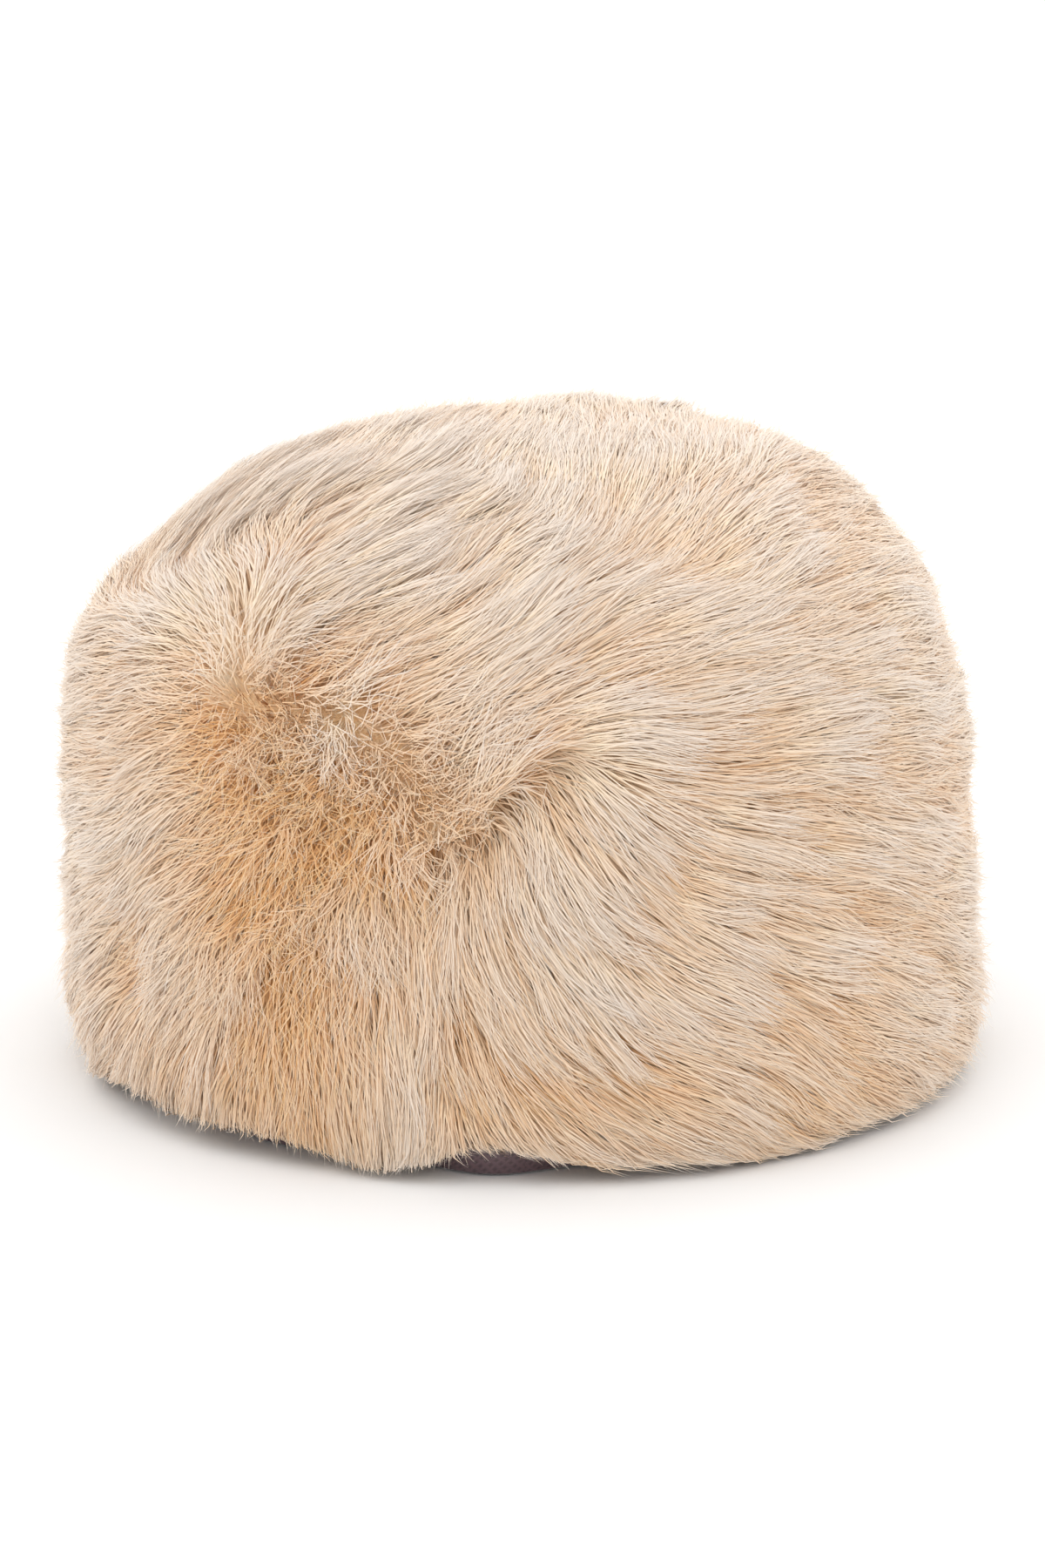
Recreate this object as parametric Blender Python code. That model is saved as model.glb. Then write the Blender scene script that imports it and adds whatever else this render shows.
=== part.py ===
# A papakha, a tall fur hat: a domed fur crown sewn to a fur side band, a plain cloth lining
# and a flat cloth facing that closes the rim. It stands on its rim, open below for the head.
# Metres, +Z up. Azimuth 0 is the front (-Y), 90 the wearer's left side (+X), 180 the back.

import math
import random
from typing import NamedTuple

import bmesh
import bpy
from mathutils import Matrix, Vector
from mathutils.bvhtree import BVHTree

# Driving dimensions
HAT_WIDTH = 0.258  # over the fur, ear to ear
HAT_DEPTH = 0.274  # over the fur, front to back
HAT_HEIGHT = 0.174  # floor to the top of the fur
HEAD_WIDTH = 0.163  # inside the lining at the rim
HEAD_DEPTH = 0.195
HOLLOW_HEIGHT = 0.131  # floor to the lining's top, inside
LINING_THICKNESS = 0.0012
FACING_THICKNESS = 0.0040
FACING_REACH = 0.018  # the facing's width, outwards from the lining's inner face
PIECE_GAP = 0.0003  # between pieces that touch

# The fur: a dense coat with combed locks fused to it
COAT_INSET = 0.0060  # from the hat's outer form down to the coat
LOCK_RISE = 0.0080  # how far a lock's ridge stands over the coat
LOCK_LENGTH = 0.056
LOCK_HALF_WIDTH = 0.0135
LOCK_SINK = 0.0020  # how deep a lock's edges sit in the coat
LOCK_SPACING = 0.0350  # between neighbours in a row
ROW_SPACING = 0.0245  # between rows up the hat
LOCK_ROW_ENDS = (0.55, 11.8)  # the lowest and highest section rows that locks lie at
LOCK_STEPS = 3
LOCK_BACK = 0.45  # the share of a lock that lies behind its place in the row
HEM_LOW, HEM_HIGH = 0.0004, 0.0016  # how low over the floor a lock at the hem may hang
HEM_EASE = 0.004  # how soon it is drawn up
LOCK_STRAY = 12.0  # degrees either way that a lock turns from the combing
SEED = 12

# Mesh fineness
AROUND = 40
COAT_UP = 13
HOLLOW_UP = 7
OVAL_POWER = 2.15  # 2 is an ellipse, more is squarer
CUTTER_REACH = 0.30
CUTTER_AROUND = 47
SLOPE_STEP = 0.02  # between the points that a slope is read from, in rows or radians
TINY = 1e-6


class Section(NamedTuple):
    """A level cut. height is a share of the full height, shift the oval's sideways shift as a share
    of the full width, and width and depth are shares of the full width and depth."""

    height: float
    shift: float
    width: float
    depth: float


FUR_SECTIONS = (
    Section(height=0.000, shift=0.000, width=0.945, depth=0.965),
    Section(height=0.060, shift=0.000, width=0.985, depth=0.990),
    Section(height=0.130, shift=-0.002, width=1.000, depth=1.000),
    Section(height=0.300, shift=-0.005, width=0.990, depth=0.992),
    Section(height=0.450, shift=-0.009, width=0.985, depth=0.985),
    Section(height=0.580, shift=-0.012, width=0.970, depth=0.970),
    Section(height=0.680, shift=-0.012, width=0.935, depth=0.935),
    Section(height=0.770, shift=0.000, width=0.850, depth=0.865),
    Section(height=0.850, shift=0.012, width=0.735, depth=0.760),
    Section(height=0.915, shift=0.025, width=0.595, depth=0.625),
    Section(height=0.965, shift=0.036, width=0.405, depth=0.435),
    Section(height=0.990, shift=0.044, width=0.215, depth=0.235),
    Section(height=1.000, shift=0.045, width=0.000, depth=0.000),
)
HOLLOW_SECTIONS = (
    Section(height=0.000, shift=0.0, width=1.000, depth=1.000),
    Section(height=0.400, shift=0.0, width=0.995, depth=0.995),
    Section(height=0.650, shift=0.0, width=0.960, depth=0.965),
    Section(height=0.820, shift=0.0, width=0.870, depth=0.880),
    Section(height=0.930, shift=0.0, width=0.700, depth=0.720),
    Section(height=0.985, shift=0.0, width=0.420, depth=0.440),
    Section(height=1.000, shift=0.0, width=0.000, depth=0.000),
)


class Comb(NamedTuple):
    """Which way the fur lies at a place: heading 0 runs round towards higher azimuths, 90 up."""

    azimuth: float
    up: float
    heading: float


COMBING = (
    # The left side, whose fur points away from the parting and turns down to the hem
    Comb(azimuth=-60, up=0.65, heading=197),
    Comb(azimuth=-60, up=0.30, heading=215),
    Comb(azimuth=-44, up=0.66, heading=205),
    Comb(azimuth=-42, up=0.45, heading=222),
    Comb(azimuth=-43, up=0.20, heading=252),
    Comb(azimuth=-28, up=0.57, heading=240),
    Comb(azimuth=-29, up=0.20, heading=262),
    Comb(azimuth=-90, up=0.60, heading=187),
    Comb(azimuth=-90, up=0.25, heading=205),
    # Under the crease, where the fur falls straight and then sweeps to the right
    Comb(azimuth=-17, up=0.48, heading=265),
    Comb(azimuth=-14, up=0.20, heading=275),
    Comb(azimuth=-2, up=0.47, heading=278),
    Comb(azimuth=-1, up=0.22, heading=303),
    Comb(azimuth=8, up=0.50, heading=305),
    Comb(azimuth=8, up=0.20, heading=325),
    Comb(azimuth=20, up=0.42, heading=335),
    Comb(azimuth=28, up=0.15, heading=330),
    # Over the parting, where it lies up and to the right
    Comb(azimuth=-40, up=0.84, heading=28),
    Comb(azimuth=-12, up=0.76, heading=28),
    Comb(azimuth=3, up=0.69, heading=42),
    Comb(azimuth=14, up=0.78, heading=14),
    # The right side, where it streams back
    Comb(azimuth=20, up=0.63, heading=355),
    Comb(azimuth=40, up=0.70, heading=355),
    Comb(azimuth=44, up=0.35, heading=338),
    Comb(azimuth=75, up=0.60, heading=347),
    Comb(azimuth=75, up=0.25, heading=340),
    # The crown
    Comb(azimuth=-30, up=0.92, heading=62),
    Comb(azimuth=-5, up=0.92, heading=62),
    Comb(azimuth=20, up=0.92, heading=42),
    Comb(azimuth=56, up=0.86, heading=355),
    Comb(azimuth=-75, up=0.86, heading=112),
    Comb(azimuth=-115, up=0.80, heading=155),
    Comb(azimuth=115, up=0.78, heading=320),
    Comb(azimuth=160, up=0.85, heading=280),
    Comb(azimuth=-155, up=0.85, heading=245),
    # The back, where both sides meet and fall to the hem
    Comb(azimuth=120, up=0.35, heading=340),
    Comb(azimuth=160, up=0.35, heading=312),
    Comb(azimuth=-160, up=0.35, heading=235),
    Comb(azimuth=-125, up=0.38, heading=203),
)
COMB_REACH = 0.026  # how far a combing row spreads
COMB_FAR_SHARE = 0.002  # what it still counts for beyond that


class Dent(NamedTuple):
    """A round hollow pressed into the fur."""

    azimuth: float
    up: float
    radius: float
    depth: float


DENTS = (
    Dent(azimuth=-14, up=0.44, radius=0.022, depth=0.0060),
    Dent(azimuth=0, up=0.56, radius=0.020, depth=0.0060),
    Dent(azimuth=12, up=0.60, radius=0.018, depth=0.0045),
    Dent(azimuth=12, up=0.90, radius=0.026, depth=0.0045),
)


class Seam(NamedTuple):
    """The height of the seam between crown and band, as a share of the full height."""

    azimuth: float
    up: float


SEAM = (
    Seam(azimuth=-180, up=0.62),
    Seam(azimuth=-110, up=0.58),
    Seam(azimuth=-70, up=0.46),
    Seam(azimuth=-40, up=0.38),
    Seam(azimuth=-18, up=0.45),
    Seam(azimuth=4, up=0.60),
    Seam(azimuth=30, up=0.66),
    Seam(azimuth=100, up=0.66),
)

# Where the fur stands up and shows its tan roots, the locks are short and turned about
TUFT_AZIMUTH, TUFT_UP = -34.0, 0.52
TUFT_RADIUS = 0.042
TUFT_TURN = 70.0  # degrees either way
TUFT_SHORTER = 0.45

COLOURS = {
    "fur": (0.74, 0.60, 0.45, 1.0),
    "fur_crown": (0.80, 0.67, 0.54, 1.0),
    "satin": (0.085, 0.060, 0.064, 1.0),
    "facing": (0.070, 0.048, 0.052, 1.0),
}


def row_between(rows, place):
    """The row at a fractional index, on a smooth curve through all of them."""
    last = len(rows) - 1
    low = min(int(place), last - 1)
    share = place - low
    near = (rows[min(max(low + i, 0), last)] for i in (-1, 0, 1, 2))
    return type(rows[0])(*(curve_between(*values, share) for values in zip(*near)))


def curve_between(before, start, end, after, share):
    """A value between start and end, on a curve whose slopes follow its neighbours."""
    slope = (end - before) / 2
    bend = before - 2.5 * start + 2 * end - after / 2
    twist = (after - before) / 2 + 1.5 * (start - end)
    return start + share * (slope + share * (bend + share * twist))


def place_at_height(rows, height):
    """The fractional index at which rows reach a height, by halving."""
    low, high = 0.0, len(rows) - 1.0
    for _ in range(30):
        middle = (low + high) / 2
        if row_between(rows, middle).height < height:
            low = middle
        else:
            high = middle
    return low


def falloff(point, centre, radius):
    """1 at the centre, and nearly 0 from twice the radius on."""
    return math.exp(-(point - centre).length_squared / radius**2)


def oval_point(form, place, azimuth):
    """A point on the oval at a fractional section row of a form."""
    sections, width, depth, height = form
    section = row_between(sections, place)
    across, along = math.sin(azimuth), -math.cos(azimuth)
    half_width = max(section.width * width / 2, TINY)
    half_depth = max(section.depth * depth / 2, TINY)
    bulge = abs(across / half_width) ** OVAL_POWER + abs(along / half_depth) ** OVAL_POWER
    radius = bulge ** (-1 / OVAL_POWER)
    return Vector((radius * across + section.shift * width, radius * along, section.height * height))


def surface_frame(form, place, azimuth):
    """(point, outward normal) of a form."""
    last = len(form[0]) - 1
    low = oval_point(form, max(place - SLOPE_STEP, 0), azimuth)
    high = oval_point(form, min(place + SLOPE_STEP, last), azimuth)
    left = oval_point(form, place, azimuth - SLOPE_STEP)
    right = oval_point(form, place, azimuth + SLOPE_STEP)
    return oval_point(form, place, azimuth), (right - left).cross(high - low).normalized()


FUR_FORM = (FUR_SECTIONS, HAT_WIDTH, HAT_DEPTH, HAT_HEIGHT)
HOLLOW_FORM = (HOLLOW_SECTIONS, HEAD_WIDTH, HEAD_DEPTH, HOLLOW_HEIGHT)


def fur_frame(azimuth, place):
    """(point, outward normal) of the fur's outer form, without its dents."""
    return surface_frame(FUR_FORM, place, azimuth)


def fur_place(azimuth_degrees, up):
    """(point, normal) of the outer form at an azimuth in degrees and a share of the height."""
    return fur_frame(math.radians(azimuth_degrees), place_at_height(FUR_SECTIONS, up))


def comb_vectors():
    """Each combing row as a place and a direction."""
    found = []
    for row in COMBING:
        point, normal = fur_place(row.azimuth, row.up)
        round_way = Vector((0, 0, 1)).cross(normal).normalized()
        up_way = normal.cross(round_way)
        heading = math.radians(row.heading)
        found.append((point, round_way * math.cos(heading) + up_way * math.sin(heading)))
    return found


def combed(point, normal, vectors):
    """The way the fur lies at a point of the surface."""
    total = Vector()
    for place, way in vectors:
        far = COMB_FAR_SHARE / (TINY + (place - point).length_squared / COMB_REACH**2)
        total += way * (falloff(point, place, COMB_REACH) + far)
    return (total - normal * total.dot(normal)).normalized()


def coat_point(azimuth, place, dents):
    """A point of the dense coat, which lies under the outer form and is dented."""
    point, normal = fur_frame(azimuth, place)
    pressed = sum(depth * falloff(point, centre, radius) for centre, radius, depth in dents)
    return point - normal * (COAT_INSET + pressed)


def hollow_point(azimuth, place, offset):
    """A point of the lining's inner face, moved outwards by offset."""
    point, normal = surface_frame(HOLLOW_FORM, place, azimuth)
    return point + normal * offset


def ring(mesh, points):
    return [mesh.verts.new(p) for p in points]


def bridge(mesh, lower, upper, inward=False):
    """Joins two rings of the same count. Faces point outwards from rings that climb, or inwards."""
    count = len(lower)
    for i in range(count):
        j = (i + 1) % count
        corners = (lower[i], lower[j], upper[j], upper[i])
        mesh.faces.new(reversed(corners) if inward else corners)


def cap(mesh, edge, tip, inward=False):
    count = len(edge)
    for i in range(count):
        corners = (edge[i], edge[(i + 1) % count], tip)
        mesh.faces.new(reversed(corners) if inward else corners)


def azimuths(count):
    return [2 * math.pi * i / count for i in range(count)]


def dome(mesh, rings, point_at, top_point, inward=False):
    """Rings from the fur's bottom up, closed by a tip. Returns the lowest ring."""
    made = [ring(mesh, [point_at(a, place) for a in azimuths(AROUND)]) for place in rings]
    for vertex in made[0]:
        vertex.co.z = fur_bottom()
    for lower, upper in zip(made, made[1:]):
        bridge(mesh, lower, upper, inward)
    cap(mesh, made[-1], mesh.verts.new(top_point), inward)
    return made[0]


def hollow_dome(mesh, offset, inward=False):
    """The head's hollow, moved outwards by offset."""
    return dome(
        mesh,
        rings_of(HOLLOW_SECTIONS, HOLLOW_UP),
        lambda azimuth, place: hollow_point(azimuth, place, offset),
        Vector((0, 0, HOLLOW_HEIGHT + offset)),
        inward,
    )


def object_from(mesh, name, colour, roughness):
    data = bpy.data.meshes.new(name)
    mesh.to_mesh(data)
    mesh.free()
    made = bpy.data.objects.new(name, data)
    bpy.context.scene.collection.objects.link(made)
    material = bpy.data.materials.new(name)
    material.use_nodes = True
    shader = material.node_tree.nodes["Principled BSDF"]
    shader.inputs["Base Color"].default_value = colour
    shader.inputs["Roughness"].default_value = roughness
    material.diffuse_color = colour
    data.materials.append(material)
    return made


def helper(made):
    made.hide_render = True
    made.display_type = "WIRE"
    return made


def rings_of(sections, count):
    """Places along the sections, closer together towards the top."""
    last = len(sections) - 1.0
    return [last * 0.985 * i / (count - 1) for i in range(count)]


def fur_bottom():
    return FACING_THICKNESS + PIECE_GAP


def build_coat():
    """The whole dense coat, crown and band together, hollow inside."""
    mesh = bmesh.new()
    dents = [(fur_place(d.azimuth, d.up)[0], d.radius, d.depth) for d in DENTS]
    last = len(FUR_SECTIONS) - 1
    top = coat_point(0.0, last - SLOPE_STEP, dents)
    centre = oval_point(FUR_FORM, last, 0.0)
    outer = dome(
        mesh,
        rings_of(FUR_SECTIONS, COAT_UP),
        lambda azimuth, place: coat_point(azimuth, place, dents),
        Vector((centre.x, centre.y, top.z)),
    )
    inner = hollow_dome(mesh, LINING_THICKNESS + PIECE_GAP, inward=True)
    bridge(mesh, inner, outer)
    return object_from(mesh, "coat", COLOURS["fur"], 0.9)


def lock_path(start, way, length, tree, vectors):
    """Points, normals and directions down a lock's middle, along the combing and over the coat."""
    point, normal, _, _ = tree.find_nearest(start - way * length * LOCK_BACK)
    path = [(point, normal, way)]
    for _ in range(LOCK_STEPS):
        ahead = point + way * (length / LOCK_STEPS)
        if ahead.z < fur_bottom():
            path.append((ahead, normal, way))
            break
        point, normal, _, _ = tree.find_nearest(ahead)
        way = (way + combed(point, normal, vectors)).normalized()
        way = (way - normal * way.dot(normal)).normalized()
        path.append((point, normal, way))
    return path


def add_lock(mesh, path, half_width, rise, hem, tree):
    """A lock of three sides: two edges sunk in the coat, and a ridge that is highest past its middle."""
    last = len(path) - 1
    rings = []
    for i, (point, normal, way) in enumerate(path[:-1]):
        share = i / last
        side = normal.cross(way)
        spread = half_width * (0.70 + 1.6 * share - 2.4 * share * share)
        ridge = point + normal * rise * math.sin(math.pi * (0.12 + 0.55 * share))
        edges = [sunk_edge(p, normal, tree) for p in (point - side * spread, point + side * spread)]
        rings.append(ring(mesh, [over_hem(p, hem) for p in (*edges, ridge)]))
    for lower, upper in zip(rings, rings[1:]):
        bridge(mesh, lower, upper)
    tip, normal, _ = path[-1]
    cap(mesh, rings[-1], mesh.verts.new(over_hem(tip - normal * LOCK_SINK / 2, hem)))
    mesh.faces.new(list(reversed(rings[0])))


def sunk_edge(point, normal, tree):
    """A lock's edge point: sunk in the coat, or hanging free below it at the hem."""
    if point.z > fur_bottom():
        point, normal, _, _ = tree.find_nearest(point)
    return point - normal * LOCK_SINK


def over_hem(point, hem):
    """What hangs below the coat is drawn up smoothly, so that it stays over the height of the hem."""
    below = fur_bottom() - point.z
    if below <= 0:
        return point
    room = fur_bottom() - hem
    return Vector((point.x, point.y, fur_bottom() - room * (1 - math.exp(-below / HEM_EASE))))


def lock_rows():
    """The fractional section rows at which rings of locks lie, evenly spaced up the form."""
    first, last = LOCK_ROW_ENDS
    steps = 400
    travelled, kept = 0.0, [first]
    before = fur_frame(math.pi / 2, first)[0]
    for i in range(1, steps):
        place = first + (last - first) * i / steps
        point = fur_frame(math.pi / 2, place)[0]
        travelled += (point - before).length
        before = point
        if travelled >= ROW_SPACING:
            kept.append(place)
            travelled = 0.0
    return kept


def build_locks(coat):
    tree = BVHTree.FromObject(coat, bpy.context.evaluated_depsgraph_get())
    vectors = comb_vectors()
    chance = random.Random(SEED)
    tuft_centre = fur_place(TUFT_AZIMUTH, TUFT_UP)[0]
    mesh = bmesh.new()
    for row, place in enumerate(lock_rows()):
        round_trip = [fur_frame(a, place)[0] for a in azimuths(AROUND)]
        girth = sum((a - b).length for a, b in zip(round_trip, round_trip[1:] + round_trip[:1]))
        count = max(3, round(girth / LOCK_SPACING))
        for i in range(count):
            azimuth = 2 * math.pi * (i + 0.5 * (row % 2) + chance.uniform(-0.22, 0.22)) / count
            start, normal = fur_frame(azimuth, place + chance.uniform(-0.08, 0.08))
            way = combed(start, normal, vectors)
            near = falloff(start, tuft_centre, TUFT_RADIUS)
            stray = LOCK_STRAY + near * TUFT_TURN
            turn = math.radians(chance.uniform(-stray, stray))
            way = (way * math.cos(turn) + normal.cross(way) * math.sin(turn)).normalized()
            length = LOCK_LENGTH * chance.uniform(0.82, 1.15) * (1 - TUFT_SHORTER * near)
            path = lock_path(start, way, length, tree, vectors)
            if len(path) > 2:
                add_lock(
                    mesh,
                    path,
                    LOCK_HALF_WIDTH * chance.uniform(0.8, 1.15),
                    LOCK_RISE * chance.uniform(0.8, 1.0),
                    chance.uniform(HEM_LOW, HEM_HIGH),
                    tree,
                )
    return helper(object_from(mesh, "locks", COLOURS["fur"], 0.9))


def seam_height(azimuth_degrees):
    """The seam's height at an azimuth, on a smooth closed curve through its rows."""
    count = len(SEAM)
    for i, row in enumerate(SEAM):
        after = SEAM[(i + 1) % count]
        span = (after.azimuth - row.azimuth) % 360
        along = (azimuth_degrees - row.azimuth) % 360
        if along <= span:
            share = along / span
            ease = share * share * (3 - 2 * share)
            return (row.up + (after.up - row.up) * ease) * HAT_HEIGHT
    return SEAM[0].up * HAT_HEIGHT


def seam_cutter(name, shift, end_height):
    """All that lies past the seam on the side of end_height."""
    mesh = bmesh.new()
    level = sum(row.up for row in SEAM) / len(SEAM) * HAT_HEIGHT + shift
    steeper = CUTTER_REACH / (HAT_WIDTH / 2)
    rim, far = [], []
    for azimuth in azimuths(CUTTER_AROUND):
        way = Vector((math.sin(azimuth), -math.cos(azimuth), 0)) * CUTTER_REACH
        rim_height = level + (seam_height(math.degrees(azimuth)) + shift - level) * steeper
        rim.append(way + Vector((0, 0, rim_height)))
        far.append(way + Vector((0, 0, end_height)))
    near_ring, far_ring = ring(mesh, rim), ring(mesh, far)
    climbs = end_height > 0
    bridge(mesh, near_ring, far_ring, inward=not climbs)
    cap(mesh, near_ring, mesh.verts.new((0, 0, level)), inward=climbs)
    cap(mesh, far_ring, mesh.verts.new((0, 0, end_height)), inward=not climbs)
    return helper(object_from(mesh, name, COLOURS["fur"], 0.9))


def outer_shell(mesh):
    """Drops the shells of pockets shut in between locks, and keeps the largest one."""
    waiting = set(mesh.faces)
    shells = []
    while waiting:
        shell = {waiting.pop()}
        edge = list(shell)
        while edge:
            face = edge.pop()
            near = {f for e in face.edges for f in e.link_faces if len(e.link_faces) == 2} - shell
            shell |= near
            edge.extend(near)
        waiting -= shell
        shells.append(shell)
    shells.sort(key=len)
    for shell in shells[:-1]:
        bmesh.ops.delete(mesh, geom=list(shell), context="FACES")


def combined(name, first, operation, other, colour):
    """A plain object of first joined with, or cut by, other."""
    modifier = first.modifiers.new(operation.title(), "BOOLEAN")
    modifier.operation = operation
    modifier.object = other
    modifier.solver = "EXACT"
    modifier.use_self = operation == "UNION"
    bpy.context.view_layer.update()
    graph = bpy.context.evaluated_depsgraph_get()
    data = bpy.data.meshes.new_from_object(first.evaluated_get(graph))
    first.modifiers.remove(modifier)
    mesh = bmesh.new()
    mesh.from_mesh(data)
    outer_shell(mesh)
    return object_from(mesh, name, colour, 0.9)


def build_fur():
    """The crown and the side band, cut apart along the seam."""
    coat = build_coat()
    locks = build_locks(coat)
    fur = combined("fur", coat, "UNION", locks, COLOURS["fur"])
    below = seam_cutter("below_seam", PIECE_GAP / 2, -CUTTER_REACH)
    above = seam_cutter("above_seam", -PIECE_GAP / 2, 2 * CUTTER_REACH)
    combined("fur_crown", fur, "DIFFERENCE", below, COLOURS["fur_crown"])
    combined("fur_side_band", fur, "DIFFERENCE", above, COLOURS["fur"])
    for guide in (coat, locks, fur, below, above):
        bpy.data.objects.remove(guide)


def build_lining():
    """A thin cap: its inner face fits the head, its outer face lies against the fur's backing."""
    mesh = bmesh.new()
    inner = hollow_dome(mesh, 0.0, inward=True)
    outer = hollow_dome(mesh, LINING_THICKNESS)
    bridge(mesh, inner, outer)
    object_from(mesh, "lining", COLOURS["satin"], 0.45)


def build_facing():
    """The flat ring of cloth under the rim, which the hat stands on."""
    mesh = bmesh.new()
    loops = []
    for offset, height in (
        (0.0, 0.0),
        (FACING_REACH, 0.0),
        (FACING_REACH, FACING_THICKNESS),
        (0.0, FACING_THICKNESS),
    ):
        points = [hollow_point(a, 0.0, offset) for a in azimuths(AROUND)]
        loops.append(ring(mesh, [Vector((p.x, p.y, height)) for p in points]))
    for inside, outside in zip(loops, loops[1:] + loops[:1]):
        bridge(mesh, inside, outside)
    object_from(mesh, "rim_facing", COLOURS["facing"], 0.5)


def clear_scene():
    for item in list(bpy.data.objects):
        bpy.data.objects.remove(item)


def centre_on_floor():
    """Puts the middle of the whole hat's box over the origin, with its rim on the floor."""
    corners = [v.co for item in bpy.data.objects for v in item.data.vertices]
    low = Vector([min(c[i] for c in corners) for i in range(3)])
    high = Vector([max(c[i] for c in corners) for i in range(3)])
    shift = Vector((-(low.x + high.x) / 2, -(low.y + high.y) / 2, -low.z))
    for item in bpy.data.objects:
        item.data.transform(Matrix.Translation(shift))


def main():
    clear_scene()
    build_fur()
    build_lining()
    build_facing()
    centre_on_floor()


main()
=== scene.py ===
# Papakha: a tall hat of long pale fur, with a satin lining and a stitched cloth facing under the rim
import math
from functools import partial

import bmesh
import bpy
import numpy as np
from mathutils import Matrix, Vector


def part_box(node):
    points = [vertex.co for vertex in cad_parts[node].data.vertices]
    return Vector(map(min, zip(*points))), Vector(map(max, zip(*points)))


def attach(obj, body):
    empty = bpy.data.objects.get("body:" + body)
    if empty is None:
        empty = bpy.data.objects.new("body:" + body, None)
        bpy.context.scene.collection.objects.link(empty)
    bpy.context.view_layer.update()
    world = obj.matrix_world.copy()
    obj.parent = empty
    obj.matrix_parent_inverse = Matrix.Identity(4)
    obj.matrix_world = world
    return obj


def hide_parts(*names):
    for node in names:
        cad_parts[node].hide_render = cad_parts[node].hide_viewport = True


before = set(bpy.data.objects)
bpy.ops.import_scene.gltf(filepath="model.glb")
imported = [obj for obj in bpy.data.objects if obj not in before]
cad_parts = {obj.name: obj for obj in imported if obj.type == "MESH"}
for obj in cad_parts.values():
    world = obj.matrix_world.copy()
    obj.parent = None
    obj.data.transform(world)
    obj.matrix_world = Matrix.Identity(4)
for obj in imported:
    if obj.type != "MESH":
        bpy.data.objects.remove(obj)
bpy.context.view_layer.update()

liningLow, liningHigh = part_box("lining")
middle = (liningLow + liningHigh) / 2  # the head's hollow stands round this point
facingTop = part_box("rim_facing")[1].z
clearance = 0.0003  # between the facing and what stands on it
print("frame loaded:", ", ".join(sorted(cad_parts)))

# The fur's outer form. Each section is a level cut: its height as a share of the full height, its
# sideways shift as a share of the full width, and its width and depth as shares of the full ones.
fur = {
    "width": 0.2505,
    "depth": 0.266,
    "height": 0.1760,
    "squareness": 2.15,  # 2 is an ellipse, more is squarer
    "sections": (
        (0.000, 0.003, 0.935, 0.955),
        (0.060, 0.002, 0.980, 0.985),
        (0.130, -0.002, 1.000, 1.000),
        (0.300, -0.005, 0.990, 0.992),
        (0.450, -0.009, 0.985, 0.985),
        (0.580, -0.012, 0.970, 0.970),
        (0.680, -0.012, 0.935, 0.935),
        (0.770, 0.000, 0.850, 0.865),
        (0.850, 0.012, 0.735, 0.760),
        (0.915, 0.025, 0.595, 0.625),
        (0.955, 0.034, 0.410, 0.440),
        (0.983, 0.038, 0.220, 0.240),
        (1.000, 0.036, 0.000, 0.000),
    ),
    "columns": 200,
    "rows": 62,
    "loft": 0.0072,  # from the pelt up to the outer form
    "hemLoft": 0.55,  # the share of it at the rim
    "hem": 0.16,  # the share of the height over which it grows to the full
    "pile": 0.029,  # how long the hairs are
}

head = {
    "width": 0.163,
    "depth": 0.195,
    "height": 0.131,
    "squareness": 2.15,
    "sections": (
        (0.000, 0.0, 1.000, 1.000),
        (0.400, 0.0, 0.995, 0.995),
        (0.650, 0.0, 0.960, 0.965),
        (0.820, 0.0, 0.870, 0.880),
        (0.930, 0.0, 0.700, 0.720),
        (0.985, 0.0, 0.420, 0.440),
        (1.000, 0.0, 0.000, 0.000),
    ),
}

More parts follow.
